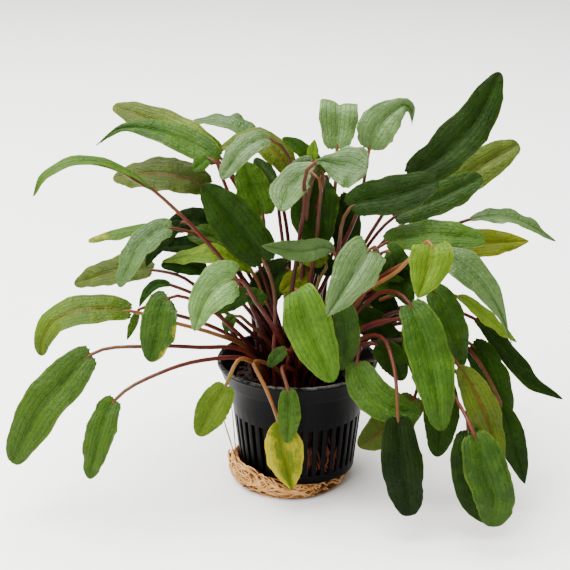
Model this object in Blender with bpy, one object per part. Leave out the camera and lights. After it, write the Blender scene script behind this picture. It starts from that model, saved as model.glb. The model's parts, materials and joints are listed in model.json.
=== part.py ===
"""A potted cryptocoryne: a slotted plastic pot, its growing medium, the mat of roots under it and the leaves.

Metres, +Z up. The origin is the middle of the mat's flat underside, where the pot's axis meets the surface
it stands on, and +Y points away from the viewer. Each leaf is one solid, petiole and blade together.
"""

import math
from dataclasses import dataclass

import bmesh
import bpy
import numpy as np
from mathutils import Vector
from mathutils.kdtree import KDTree

# The pot, measured as radii of its outer wall and heights over the surface.
POT_WALL = 0.0012
POT_FOOT_RADIUS = 0.0193
POT_FOOT_HEIGHT = 0.0045
POT_NECK_RADIUS = 0.0228
POT_NECK_HEIGHT = 0.0350
COLLAR_FOOT_RADIUS = 0.0246
COLLAR_RADIUS = 0.0264
RIM_RADIUS = 0.0270
RIM_HEIGHT = 0.0420
POT_COLUMNS = 80
SLOT_FOOT = 0.0075
SLOT_TOP = 0.0245
SHOULDER_RISE = 0.0010
LIP_DROP = 0.0012

# The growing medium: flat in the crown, lumpy in two rings between it and the pot's wall.
GAP = 0.0003
FIT = 0.0002
MEDIUM_TOP = 0.0360
MEDIUM_SHOULDER = POT_NECK_HEIGHT - 0.0012
MEDIUM_OUTER_RING = 0.0195
MEDIUM_INNER_RING = 0.0168
MEDIUM_LUMP = 0.0012
MEDIUM_COLUMNS = 20
CROWN_RADIUS = 0.0145
CROWN_MIDDLE = Vector((-0.0005, -0.0030, 0.0))

# The mat of roots: flat ovals that stand further out on the left, where the edge climbs the pot's side.
ROOT_FLAT = (-0.0026, 0.0182, 0.0200)
ROOT_TURN = (-0.0028, 0.0194, 0.0214)
ROOT_BULGE = (-0.0029, 0.0200, 0.0222)
ROOT_SHOULDER = (-0.0029, 0.0196, 0.0218)
ROOT_TURN_HEIGHT = 0.0010
ROOT_BULGE_SHARE = 0.55
ROOT_SHOULDER_DROP = 0.0005
ROOT_LIP_WIDTH = 0.0017
ROOT_SEAT_WIDTH = 0.0005
ROOT_RIPPLE = 0.0005
ROOT_CLIMB = 0.0032
ROOT_CLIMB_START = 0.30
ROOT_CLIMB_BEARING = math.radians(205)
ROOT_COLUMNS = 28

# The leaves.
PETIOLE_RADIUS = 0.00064
PETIOLE_FOOT_RADIUS = 0.00092
BLADE_THICKNESS = 0.0010
TIP_THICKNESS = 0.0006
EDGE_LIFT = 0.10
PETIOLE_RISE = 0.0060
PETIOLE_LEAN = 0.12
PETIOLE_SPREAD = 0.25
PETIOLE_BOW = 0.125
BACK_FACE_OUT = 0.50
BACK_FACE_UP = 0.85
PETIOLE_STEPS = 5
BLADE_STEPS = (0.03, 0.10, 0.20, 0.32, 0.44, 0.56, 0.68, 0.79, 0.89, 0.96)
SPAN_STEPS = 16
LINE_STEPS = 160
STALK_POINTS = 36
BLADE_POINTS = 17
SURFACE_CLEARANCE = 0.0016
RIM_CLEARANCE = 0.0020
RIM_WIDTH = 0.0080
RIM_DEPTH = 0.0030

# The room that leaves keep from each other, and how it is made.
BLADE_ROOM = 0.0015
PETIOLE_ROOM = 0.00105
BLADE_SAMPLES = (-0.97, -0.65, -0.33, 0.0, 0.33, 0.65, 0.97)
ROOM_ROUNDS = 60
HELD_STEPS = 3.0
EASING = (0.15, 0.20, 0.30, 0.20, 0.15)
EASED_SHARE = 0.3

# The view that the leaves' places are read in: a place in the picture, in pixels, and a depth in metres.
VIEW_POINT = Vector((-0.00413, -0.4519, 0.2233))
VIEW_PITCH = math.radians(19.0)
VIEW_FOCAL_PX = 1454.0
VIEW_MIDDLE_PX = 285.0
VIEW_RIGHT = Vector((1.0, 0.0, 0.0))
VIEW_UP = Vector((0.0, math.sin(VIEW_PITCH), math.cos(VIEW_PITCH)))
VIEW_AHEAD = Vector((0.0, math.cos(VIEW_PITCH), -math.sin(VIEW_PITCH)))

# How the blade widens from its foot and closes at its tip: where it is widest, and how blunt it ends.
OUTLINES = {
    "oval": (0.78, 0.50),
    "long": (0.90, 0.38),
    "lance": (0.80, 0.78),
    "tailed": (0.55, 1.40),
    "heart": (0.50, 0.66),
    "wedge": (1.90, 0.55),
}

# Base colour and roughness of the upper surface.
FINISHES = {
    "dark": ((0.035, 0.090, 0.016, 1.0), 0.42),
    "green": ((0.070, 0.170, 0.028, 1.0), 0.42),
    "grey": ((0.130, 0.215, 0.085, 1.0), 0.38),
    "olive": ((0.150, 0.185, 0.025, 1.0), 0.45),
    "lime": ((0.200, 0.310, 0.040, 1.0), 0.45),
    "yellow": ((0.330, 0.330, 0.030, 1.0), 0.45),
    "pot": ((0.006, 0.006, 0.008, 1.0), 0.38),
    "medium": ((0.035, 0.017, 0.008, 1.0), 0.95),
    "roots": ((0.500, 0.270, 0.110, 1.0), 0.80),
}


@dataclass(frozen=True)
class Leaf:
    """A leaf. Each place is across and down the picture in pixels, then the depth in metres."""

    name: str
    tone: str
    wide: float
    face: tuple
    blade: tuple
    stalk: tuple = ()
    outline: str = "oval"


@dataclass(frozen=True)
class BackLeaf:
    """A leaf behind the rest. Its places are a distance from the pot's axis and a height, on one bearing."""

    name: str
    tone: str
    wide: float
    bearing: float
    blade: tuple
    outline: str = "oval"


LEFT_LEAVES = (
    Leaf("leaf_top_left_back", "olive", 0.0112, (-0.1, -0.6, 0.8),
         ((219, 156, 0.015), (167, 125, 0.021), (113, 106, 0.027)), outline="long"),
    Leaf("leaf_top_left_curled", "green", 0.0112, (-0.1, -0.6, 0.8),
         ((220, 163, 0.004), (190, 143, 0.006), (158, 130, 0.008), (120, 128, 0.010), (96, 145, 0.012)),
         outline="tailed"),
    Leaf("leaf_left_arch", "green", 0.0112, (0.0, -0.02, 1.0),
         ((152, 189, -0.014), (115, 166, -0.017), (75, 161, -0.020), (45, 175, -0.023), (33, 196, -0.025)),
         ((243, 290, -0.010), (205, 240, -0.015)), "lance"),
    Leaf("leaf_left_olive", "olive", 0.0146, (0.0, -0.6, 0.8),
         ((207, 188, 0.016), (160, 174, 0.020), (113, 177, 0.026))),
    Leaf("leaf_left_level", "green", 0.0095, (0.0, -0.12, 1.0),
         ((200, 231, 0.010), (145, 230, 0.008), (88, 241, 0.006)), outline="long"),
    Leaf("leaf_left_grey_hanging", "grey", 0.0102, (-0.5, -0.75, 0.45),
         ((171, 228, -0.008), (140, 246, -0.013), (119, 287, -0.019))),
    Leaf("leaf_left_short", "olive", 0.0115, (0.0, -0.6, 0.8),
         ((152, 270, 0.012), (112, 271, 0.014), (74, 284, 0.015)), ((190, 282, 0.006),)),
    Leaf("leaf_left_lime_broad", "lime", 0.0128, (-0.2, -0.5, 0.85),
         ((130, 311, -0.014), (90, 309, -0.016), (56, 319, -0.018), (43, 338, -0.019), (41, 356, -0.020)),
         ((240, 343, -0.011), (185, 326, -0.013))),
    Leaf("leaf_left_with_hole", "green", 0.0125, (-0.3, -0.9, 0.3),
         ((169, 298, -0.026), (158, 330, -0.030), (150, 362, -0.032)), ((210, 310, -0.020),)),
    Leaf("leaf_left_hanging_large", "green", 0.0144, (-0.35, -0.9, 0.25),
         ((92, 354, -0.030), (62, 384, -0.034), (37, 413, -0.037), (12, 463, -0.038)),
         ((258, 354, -0.008), (232, 351, -0.014), (180, 346, -0.022), (137, 347, -0.027)), "long"),
    Leaf("leaf_left_hanging_low", "green", 0.0096, (-0.3, -0.95, 0.1),
         ((115, 400, -0.045), (101, 430, -0.049), (89, 479, -0.051)),
         ((255, 362, -0.016), (230, 358, -0.022), (200, 361, -0.031), (155, 375, -0.040))),
    Leaf("leaf_over_pot_left", "lime", 0.0105, (-0.2, -1.0, 0.1),
         ((226, 385, -0.032), (213, 408, -0.035), (198, 436, -0.037)),
         ((252, 362, -0.0215), (236, 362, -0.0300))),
    Leaf("leaf_over_pot_small", "green", 0.0074, (0.0, -1.0, 0.15),
         ((288, 390, -0.0335), (289, 416, -0.0360), (287, 443, -0.0365)), ((282, 367, -0.027),)),
    Leaf("leaf_over_pot_yellow", "yellow", 0.0125, (0.0, -1.0, 0.1),
         ((278, 421, -0.0320), (285, 455, -0.0325), (292, 490, -0.0325)),
         ((255, 360, -0.022), (268, 393, -0.0310)), "lance"),
)

MIDDLE_LEAVES = (
    Leaf("leaf_top_grey", "grey", 0.0112, (0.0, -0.2, 1.0),
         ((262, 148, 0.018), (228, 121, 0.021), (192, 122, 0.024))),
    Leaf("leaf_top_pointing_down", "grey", 0.0086, (0.1, -0.6, 0.8),
         ((270, 139, -0.007), (244, 148, -0.012), (221, 179, -0.016)), ((297, 165, -0.002),)),
    Leaf("leaf_top_olive", "olive", 0.0110, (0.0, -0.5, 0.85),
         ((290, 172, 0.004), (258, 140, 0.006), (221, 147, 0.008))),
    Leaf("leaf_centre_upright", "green", 0.0120, (0.0, -1.0, 0.3),
         ((263, 215, 0.000), (254, 190, 0.001), (243, 162, 0.002))),
    Leaf("leaf_centre_left_large", "dark", 0.0150, (-0.2, -0.9, 0.45),
         ((264, 262, -0.017), (232, 219, -0.017), (203, 185, -0.015)), ((275, 300, -0.012),)),
    Leaf("leaf_left_curled_yellow", "lime", 0.0100, (0.0, -0.4, 0.9),
         ((252, 272, -0.003), (215, 254, -0.005), (162, 261, -0.008)), outline="lance"),
    Leaf("leaf_centre_left_pale", "grey", 0.0134, (-0.2, -0.9, 0.45),
         ((235, 279, -0.036), (208, 296, -0.040), (194, 331, -0.043)),
         ((285, 352, -0.014), (258, 305, -0.028)), "heart"),
    Leaf("leaf_top_folded", "grey", 0.0126, (0.0, -0.8, 0.6),
         ((337, 150, -0.004), (338, 127, -0.003), (339, 105, 0.002), (341, 109, 0.014)),
         ((338, 185, -0.002),), "long"),
    Leaf("leaf_top_wavy", "grey", 0.0128, (-0.1, -0.9, 0.4),
         ((369, 150, -0.004), (377, 129, -0.005), (394, 111, -0.004), (409, 105, -0.003), (412, 126, -0.002)),
         ((364, 195, -0.002),), "tailed"),
    Leaf("leaf_top_front_pale", "grey", 0.0150, (0.1, -0.75, 0.65),
         ((316, 162, -0.021), (343, 165, -0.024), (367, 171, -0.027)), ((308, 186, -0.016),), "wedge"),
    Leaf("leaf_centre_grey", "grey", 0.0120, (-0.2, -0.7, 0.7),
         ((312, 173, -0.015), (291, 186, -0.020), (281, 211, -0.024)),
         ((302, 325, -0.009), (317, 230, -0.010), (319, 192, -0.012))),
    Leaf("leaf_centre_dark_broad", "dark", 0.0162, (0.0, -1.0, 0.2),
         ((322, 176, -0.001), (314, 212, -0.006), (322, 247, -0.008)), ((334, 195, 0.004),)),
    Leaf("leaf_centre_level", "grey", 0.0072, (0.0, -0.9, 0.4),
         ((334, 252, -0.0125), (300, 251, -0.0185), (262, 246, -0.0235)), ((326, 300, -0.0125),), "lance"),
    Leaf("leaf_centre_right_hanging", "grey", 0.0142, (-0.1, -0.95, 0.3),
         ((369, 250, -0.034), (350, 280, -0.041), (327, 316, -0.045)),
         ((345, 317, -0.0175), (364, 297, -0.0214), (384, 240, -0.0250)), "heart"),
    Leaf("leaf_centre_front_bright", "green", 0.0148, (0.0, -1.0, 0.2),
         ((297, 290, -0.029), (312, 335, -0.035), (333, 382, -0.039)), ((300, 325, -0.016),)),
)

RIGHT_LEAVES = (
    Leaf("leaf_right_level", "green", 0.0113, (0.0, -0.7, 0.75),
         ((386, 243, -0.013), (435, 235, -0.014), (485, 240, -0.015)), ((362, 265, -0.008),), "long"),
    Leaf("leaf_right_behind_level", "dark", 0.0112, (0.0, -0.95, 0.3),
         ((387, 251, -0.0165), (398, 276, -0.018), (411, 305, -0.019)),
         ((335, 334, -0.0065), (366, 291, -0.0112))),
    Leaf("leaf_right_small_pale", "lime", 0.0132, (0.0, -0.9, 0.45),
         ((432, 246, -0.042), (428, 270, -0.045), (418, 298, -0.048)),
         ((332, 330, -0.0085), (352, 302, -0.0150), (385, 280, -0.0260), (425, 252, -0.038)), "heart"),
    Leaf("leaf_right_grey_tailed", "grey", 0.0108, (0.2, -0.8, 0.55),
         ((438, 255, -0.024), (470, 271, -0.027), (495, 301, -0.030), (512, 343, -0.032)),
         ((352, 311, -0.0045), (376, 286, -0.0110), (400, 264, -0.0210)), "tailed"),
    Leaf("leaf_right_edge_on", "lime", 0.0085, (0.3, -0.3, 1.0),
         ((456, 296, -0.012), (487, 318, -0.014), (517, 342, -0.016)), outline="lance"),
    Leaf("leaf_right_long_dark", "dark", 0.0086, (0.3, -0.55, 0.8),
         ((473, 318, -0.006), (502, 346, -0.010), (530, 380, -0.014), (563, 399, -0.016)), outline="lance"),
    Leaf("leaf_right_drooping_dark", "dark", 0.0120, (0.3, -0.9, 0.3),
         ((472, 345, -0.014), (495, 388, -0.020), (504, 437, -0.024))),
    Leaf("leaf_right_low_outer", "dark", 0.0088, (0.2, -1.0, 0.1),
         ((500, 402, -0.028), (514, 445, -0.031), (525, 484, -0.032)),
         ((400, 310, -0.0140), (470, 350, -0.022)), "lance"),
    Leaf("leaf_right_red_midrib", "olive", 0.0108, (0.3, -0.95, 0.2),
         ((458, 365, -0.034), (484, 412, -0.041), (503, 469, -0.045)), ((400, 316, -0.022),), "lance"),
    Leaf("leaf_right_largest", "green", 0.0138, (0.1, -1.0, 0.1),
         ((474, 434, -0.055), (486, 470, -0.059), (495, 500, -0.061), (493, 527, -0.062)),
         ((395, 332, -0.017), (434, 368, -0.029), (456, 400, -0.044)), "long"),
    Leaf("leaf_behind_largest", "dark", 0.0112, (-0.2, -1.0, 0.1),
         ((468, 430, -0.041), (468, 470, -0.046), (475, 502, -0.048), (488, 523, -0.049)),
         ((447, 362, -0.025),)),
    Leaf("leaf_right_front_broad", "green", 0.0138, (0.1, -0.95, 0.3),
         ((409, 303, -0.032), (431, 362, -0.041), (442, 431, -0.046)),
         ((345, 325, -0.0125), (383, 292, -0.018))),
    Leaf("leaf_right_behind_broad", "green", 0.0112, (0.2, -0.9, 0.4),
         ((430, 290, -0.016), (450, 325, -0.021), (462, 367, -0.024))),
    Leaf("leaf_right_dark_hanging", "dark", 0.0118, (0.0, -1.0, 0.1),
         ((437, 375, -0.022), (441, 415, -0.027), (437, 457, -0.029)),
         ((400, 330, -0.0110),)),
    Leaf("leaf_hanging_beside_pot", "dark", 0.0128, (0.0, -1.0, 0.05),
         ((398, 418, -0.046), (402, 465, -0.050), (410, 516, -0.051)),
         ((372, 334, -0.019), (397, 378, -0.041)), "long"),
    Leaf("leaf_over_pot_right", "green", 0.0118, (-0.2, -0.85, 0.5),
         ((357, 362, -0.032), (368, 389, -0.038), (390, 407, -0.041), (421, 415, -0.042)),
         ((345, 354, -0.0225), (366, 347, -0.0290))),
    Leaf("leaf_behind_pot_right", "olive", 0.0126, (-0.3, -0.9, 0.3),
         ((415, 396, -0.018), (386, 428, -0.022), (358, 446, -0.024)),
         ((388, 341, -0.006), (416, 372, -0.012))),
    Leaf("leaf_top_right_tall", "dark", 0.0142, (-0.2, -0.95, 0.35),
         ((412, 177, 0.000), (443, 155, 0.002), (475, 121, 0.005), (500, 72, 0.008)),
         ((385, 210, -0.003),)),
    Leaf("leaf_top_right_olive", "olive", 0.0126, (0.0, -0.8, 0.6),
         ((436, 200, 0.018), (484, 164, 0.021), (519, 144, 0.024)),
         ((385, 240, 0.013),), "long"),
    Leaf("leaf_top_right_middle", "green", 0.0120, (0.0, -0.8, 0.6),
         ((393, 218, 0.001), (440, 197, 0.006), (482, 177, 0.009)),
         ((326, 325, 0.001), (355, 265, -0.001)), "long"),
    Leaf("leaf_top_right_front", "dark", 0.0132, (0.0, -0.8, 0.6),
         ((350, 208, -0.009), (395, 195, -0.009), (438, 181, -0.009)),
         ((321, 325, -0.006), (336, 265, -0.009)), "long"),
    Leaf("leaf_right_thin_wavy", "grey", 0.0086, (0.0, -0.35, 1.0),
         ((468, 220, 0.013), (512, 217, 0.014), (556, 241, 0.015)), outline="lance"),
    Leaf("leaf_right_yellow", "yellow", 0.0108, (0.0, -0.7, 0.7),
         ((442, 248, 0.002), (485, 243, 0.004), (529, 241, 0.006)), outline="lance"),
)

BACK_LEAVES = (
    BackLeaf("leaf_back_right_high", "green", 0.0125, 46, ((0.026, 0.086), (0.046, 0.088), (0.064, 0.072))),
    BackLeaf("leaf_back_low_right", "olive", 0.0130, 66, ((0.036, 0.064), (0.058, 0.052), (0.068, 0.028))),
    BackLeaf("leaf_back_high", "green", 0.0135, 84, ((0.026, 0.088), (0.048, 0.092), (0.068, 0.074))),
    BackLeaf("leaf_back_low", "dark", 0.0128, 101, ((0.034, 0.062), (0.056, 0.050), (0.068, 0.025))),
    BackLeaf("leaf_back_left_high", "green", 0.0130, 122, ((0.026, 0.080), (0.046, 0.084), (0.063, 0.068))),
)


def seen_at(across, down, depth):
    """The point seen at a place in the picture, on the upright plane at a depth."""
    ray = VIEW_AHEAD + VIEW_RIGHT * ((across - VIEW_MIDDLE_PX) / VIEW_FOCAL_PX)
    ray = ray + VIEW_UP * ((VIEW_MIDDLE_PX - down) / VIEW_FOCAL_PX)
    return VIEW_POINT + ray * ((depth - VIEW_POINT.y) / ray.y)


def curve_through(points, steps):
    """Points spaced evenly along a smooth curve through the given ones."""
    ends = [points[0] * 2 - points[1], *points, points[-1] * 2 - points[-2]]
    fine = []
    for first, start, end, last in zip(ends, ends[1:], ends[2:], ends[3:]):
        span = (end - start).length
        leave = (end - first) * (span / max((end - first).length, 1e-6))
        reach = (last - start) * (span / max((last - start).length, 1e-6))
        for step in range(SPAN_STEPS):
            t = step / SPAN_STEPS
            fine.append(
                start * (2 * t**3 - 3 * t**2 + 1)
                + leave * (t**3 - 2 * t**2 + t)
                + end * (3 * t**2 - 2 * t**3)
                + reach * (t**3 - t**2)
            )
    fine.append(points[-1].copy())
    return resampled(fine, steps)


def resampled(fine, steps):
    """A line of points spaced evenly along the given one."""
    line = np.array([tuple(point) for point in fine])
    lengths = np.concatenate([[0.0], np.cumsum(np.linalg.norm(np.diff(line, axis=0), axis=1))])
    places = np.linspace(0.0, lengths[-1], steps)
    return np.stack([np.interp(places, lengths, line[:, axis]) for axis in range(3)], axis=1)


def width_share(outline, along):
    """The blade's width at a share of its length, against its widest."""
    shoulder, blunt = OUTLINES[outline]
    return math.sin(math.pi * min(max(along, 0.0), 1.0) ** shoulder) ** blunt


def ordered_for_crown(leaves):
    """The leaves with the lowest junction first, since their petioles stand outermost in the crown."""
    return sorted(leaves, key=lambda leaf: junction(leaf).z)


def junction(leaf):
    """The point where a leaf's petiole meets its blade."""
    return blade_points(leaf)[0]


def blade_points(leaf):
    """The points that a blade passes through, from its junction with the petiole to its tip."""
    if isinstance(leaf, Leaf):
        return [seen_at(*place) for place in leaf.blade]
    bearing = math.radians(leaf.bearing)
    return [
        Vector((reach * math.cos(bearing), reach * math.sin(bearing), height))
        for reach, height in leaf.blade
    ]


def crown_feet(leaves):
    """A foot for each petiole: the turns of a sunflower's head, the outermost given to the lowest leaf."""
    count = len(leaves)
    golden = math.pi * (3.0 - math.sqrt(5.0))
    free = []
    for turn in range(count):
        radius = CROWN_RADIUS * math.sqrt((turn + 0.5) / count)
        angle = turn * golden
        free.append(CROWN_MIDDLE + Vector((radius * math.cos(angle), radius * math.sin(angle), 0)))
    feet = {}
    for leaf in ordered_for_crown(leaves):
        goal = junction(leaf) - CROWN_MIDDLE
        goal.z = 0.0
        goal = CROWN_MIDDLE + goal.normalized() * CROWN_RADIUS
        nearest = min(free, key=lambda foot: (foot - goal).length)
        free.remove(nearest)
        feet[leaf.name] = nearest + Vector((0, 0, MEDIUM_TOP + GAP))
    return feet


def petiole_points(leaf, foot, blade):
    """The points that a petiole passes through, from its foot up to the blade."""
    outward = Vector((foot.x, foot.y, 0)) - CROWN_MIDDLE
    lifted = foot + Vector((0, 0, PETIOLE_RISE)) + outward * PETIOLE_LEAN
    if isinstance(leaf, Leaf) and leaf.stalk:
        return [foot, lifted, *(seen_at(*place) for place in leaf.stalk)]
    span = (blade[0] - lifted).length
    leave = (Vector((0, 0, 1)) + outward.normalized() * PETIOLE_SPREAD).normalized() * span
    reach = (blade[1] - blade[0]).normalized() * span
    half = (lifted + blade[0]) * 0.5 + (leave - reach) * PETIOLE_BOW
    return [foot, lifted, half]


class Shape:
    """A leaf's line and the frame across it, before its solid is made."""

    def __init__(self, leaf, foot):
        self.leaf = leaf
        blade = blade_points(leaf)
        petiole = petiole_points(leaf, foot, blade)
        whole = curve_through(petiole + blade, LINE_STEPS)
        split = int(np.argmin([(Vector(point) - blade[0]).length for point in whole]))
        stalk_line = resampled(whole[: split + 1], STALK_POINTS)
        self.line = np.concatenate([stalk_line, resampled(whole[split:], BLADE_POINTS)[1:]])
        self.first_line = self.line.copy()
        self.face = leaf_face(leaf)
        along = np.arange(1, BLADE_POINTS) / (BLADE_POINTS - 1)
        broad = [0.5 * leaf.wide * width_share(leaf.outline, share) for share in along]
        self.half = np.maximum(np.concatenate([np.zeros(STALK_POINTS), broad]), PETIOLE_RADIUS)

    def frame(self):
        """The directions across the leaf and out of its upper surface, at each point of its line."""
        ahead = np.gradient(self.line, axis=0)
        ahead /= np.linalg.norm(ahead, axis=1)[:, None]
        face = np.array(self.face)
        up = face[None, :] - ahead * (ahead @ face)[:, None]
        up /= np.linalg.norm(up, axis=1)[:, None]
        return np.cross(ahead, up), up

    def samples(self):
        """Points over the leaf, each with its step on the line and whether it is on the blade."""
        side, up = self.frame()
        found = []
        for step, point in enumerate(self.line):
            on_blade = step >= STALK_POINTS
            for share in BLADE_SAMPLES if on_blade else (0.0,):
                lift = EDGE_LIFT * self.half[step] * abs(share)
                place = point + side[step] * (self.half[step] * share) + up[step] * lift
                found.append((place, step, on_blade))
        return found


def leaf_face(leaf):
    """The direction that a leaf's upper surface looks in."""
    if isinstance(leaf, Leaf):
        return Vector(leaf.face).normalized()
    bearing = math.radians(leaf.bearing)
    out = Vector((math.cos(bearing), math.sin(bearing), 0.0))
    return (out * BACK_FACE_OUT + Vector((0, 0, BACK_FACE_UP))).normalized()


def close_pairs(shapes):
    """Each place where two leaves come too close: the two leaves, their steps, and how much room is short."""
    samples = [(index, *sample) for index, shape in enumerate(shapes) for sample in shape.samples()]
    tree = KDTree(len(samples))
    for number, sample in enumerate(samples):
        tree.insert(sample[1], number)
    tree.balance()
    pairs = []
    for number, (one, place, step, on_blade) in enumerate(samples):
        reach = BLADE_ROOM if on_blade else PETIOLE_ROOM
        for _, other, apart in tree.find_range(place, reach + BLADE_ROOM):
            two, _, other_step, other_on_blade = samples[other]
            short = reach + (BLADE_ROOM if other_on_blade else PETIOLE_ROOM) - apart
            if one < two and short > 0:
                pairs.append(((one, on_blade, two, other_on_blade), step, other_step, short))
    return pairs


def make_room(shapes):
    """Moves leaves that come too close apart along the line of view, keeping which one is in front."""
    eye = np.array(VIEW_POINT)
    depths = [np.linalg.norm(shape.first_line - eye, axis=1) for shape in shapes]
    order = {}
    for _ in range(ROOM_ROUNDS):
        pairs = close_pairs(shapes)
        fresh = {}
        for key, step, other_step, _ in pairs:
            if key not in order:
                difference = depths[key[2]][other_step] - depths[key[0]][step]
                fresh[key] = fresh.get(key, 0.0) + difference
        order.update({key: 1.0 if total > 0 else -1.0 for key, total in fresh.items()})
        pushes = [np.zeros((len(shape.line), 2)) for shape in shapes]
        for key, step, other_step, short in pairs:
            back = 0.5 * short
            nearer, further = (key[0], step), (key[2], other_step)
            if order[key] < 0:
                nearer, further = further, nearer
            pushes[nearer[0]][nearer[1], 0] = max(pushes[nearer[0]][nearer[1], 0], back)
            pushes[further[0]][further[1], 1] = max(pushes[further[0]][further[1], 1], back)
        for shape, push in zip(shapes, pushes):
            shift(shape, push[:, 1] - push[:, 0], eye)
            keep_off(shape)
        if not pairs:
            break


def shift(shape, push, eye):
    """Moves a leaf's line along the line of view, eased into its neighbours and held at its foot."""
    for _ in range(2):
        eased = np.convolve(np.pad(push, len(EASING) // 2, mode="edge"), EASING, mode="valid")
        mixed = (1 - EASED_SHARE) * push + EASED_SHARE * eased
        push = np.where(np.abs(eased) > np.abs(push), eased, mixed)
    hold = np.clip((np.arange(len(push)) - 1) / HELD_STEPS, 0.0, 1.0)
    ray = shape.line - eye
    ray /= np.linalg.norm(ray, axis=1)[:, None]
    shape.line = shape.line + ray * (push * hold)[:, None]


def keep_off(shape):
    """Keeps the line over the surface and, beyond its foot, off the pot's collar."""
    line = shape.line
    side, _ = shape.frame()
    lowest = line[:, 2] - np.abs(side[:, 2]) * shape.half
    line[:, 2] += np.clip(SURFACE_CLEARANCE - lowest, 0.0, None)
    radius = np.hypot(line[:, 0], line[:, 1])
    over_rim = (radius > RIM_RADIUS - RIM_WIDTH) & (radius < RIM_RADIUS + RIM_CLEARANCE)
    over_rim &= (line[:, 2] < RIM_HEIGHT + RIM_CLEARANCE) & (line[:, 2] > RIM_HEIGHT - RIM_DEPTH)
    line[over_rim, 2] = RIM_HEIGHT + RIM_CLEARANCE


def leaf_solid(shape):
    """The petiole and blade as one skin of four-cornered sections that closes in a point."""
    parts = (shape.line[:STALK_POINTS], shape.line[STALK_POINTS - 1 :])
    stations = [(0, step / (PETIOLE_STEPS - 1)) for step in range(PETIOLE_STEPS)]
    stations += [(1, share) for share in BLADE_STEPS]
    mesh = bmesh.new()
    rings = []
    for number, (part, share) in enumerate(stations):
        line = parts[part]
        place = share * (len(line) - 1)
        low = min(int(place), len(line) - 2)
        point = Vector(line[low] + (line[low + 1] - line[low]) * (place - low))
        ahead = (Vector(line[min(low + 2, len(line) - 1)]) - Vector(line[max(low - 1, 0)])).normalized()
        if number == 0:
            ahead = Vector((0, 0, 1))
        up = (shape.face - ahead * shape.face.dot(ahead)).normalized()
        side = ahead.cross(up)
        rings.append([mesh.verts.new(corner) for corner in section(shape.leaf, part, share, point, up, side)])
    tip = mesh.verts.new(Vector(shape.line[-1]))
    mesh.faces.new(list(reversed(rings[0])))
    for lower, upper in zip(rings, rings[1:]):
        for corner in range(4):
            following = (corner + 1) % 4
            mesh.faces.new((lower[corner], lower[following], upper[following], upper[corner]))
    for corner in range(4):
        mesh.faces.new((rings[-1][corner], rings[-1][(corner + 1) % 4], tip))
    bmesh.ops.triangulate(mesh, faces=mesh.faces[:], quad_method="SHORT_EDGE")
    bmesh.ops.recalc_face_normals(mesh, faces=mesh.faces[:])
    data = bpy.data.meshes.new(shape.leaf.name)
    mesh.to_mesh(data)
    mesh.free()
    return add_object(shape.leaf.name, data, shape.leaf.tone)


def section(leaf, part, share, point, up, side):
    """The four corners of a section: one edge, the upper middle, the other edge and the lower middle."""
    if part == 0:
        half = PETIOLE_FOOT_RADIUS + (PETIOLE_RADIUS - PETIOLE_FOOT_RADIUS) * share
        thick = half
        lift = 0.0
    else:
        half = max(0.5 * leaf.wide * width_share(leaf.outline, share), PETIOLE_RADIUS)
        thick = 0.5 * (BLADE_THICKNESS + (TIP_THICKNESS - BLADE_THICKNESS) * share)
        lift = EDGE_LIFT * half
    return (
        point + side * half + up * lift,
        point + up * thick,
        point - side * half + up * lift,
        point - up * thick,
    )


def finish(tone):
    """The material of one finish, made once."""
    found = bpy.data.materials.get(tone)
    if found:
        return found
    colour, roughness = FINISHES[tone]
    material = bpy.data.materials.new(tone)
    material.use_nodes = True
    shader = material.node_tree.nodes["Principled BSDF"]
    shader.inputs["Base Color"].default_value = colour
    shader.inputs["Roughness"].default_value = roughness
    return material


def add_object(name, data, tone):
    """A new object in the scene, with its finish."""
    obj = bpy.data.objects.new(name, data)
    obj.data.materials.append(finish(tone))
    bpy.context.scene.collection.objects.link(obj)
    return obj


def turned(profile, columns):
    """A skin about the Z axis from radii and heights, each a number or a function of the bearing."""
    mesh = bmesh.new()
    rows = []
    for radius, height in profile:
        row = []
        for column in range(columns if radius else 1):
            turn = 2 * math.pi * column / columns
            reach = radius(turn) if callable(radius) else radius
            rise = height(turn) if callable(height) else height
            row.append(mesh.verts.new((reach * math.cos(turn), reach * math.sin(turn), rise)))
        rows.append(row)
    for lower, upper in zip(rows, rows[1:]):
        for column in range(columns):
            following = (column + 1) % columns
            corners = [lower[column % len(lower)], lower[following % len(lower)]]
            corners += [upper[following % len(upper)], upper[column % len(upper)]]
            mesh.faces.new(list(dict.fromkeys(corners)))
    bmesh.ops.recalc_face_normals(mesh, faces=mesh.faces[:])
    return mesh


def pot_radius(height):
    """The radius of the body's outer wall at a height."""
    share = (height - POT_FOOT_HEIGHT) / (POT_NECK_HEIGHT - POT_FOOT_HEIGHT)
    return POT_FOOT_RADIUS + (POT_NECK_RADIUS - POT_FOOT_RADIUS) * share


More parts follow.
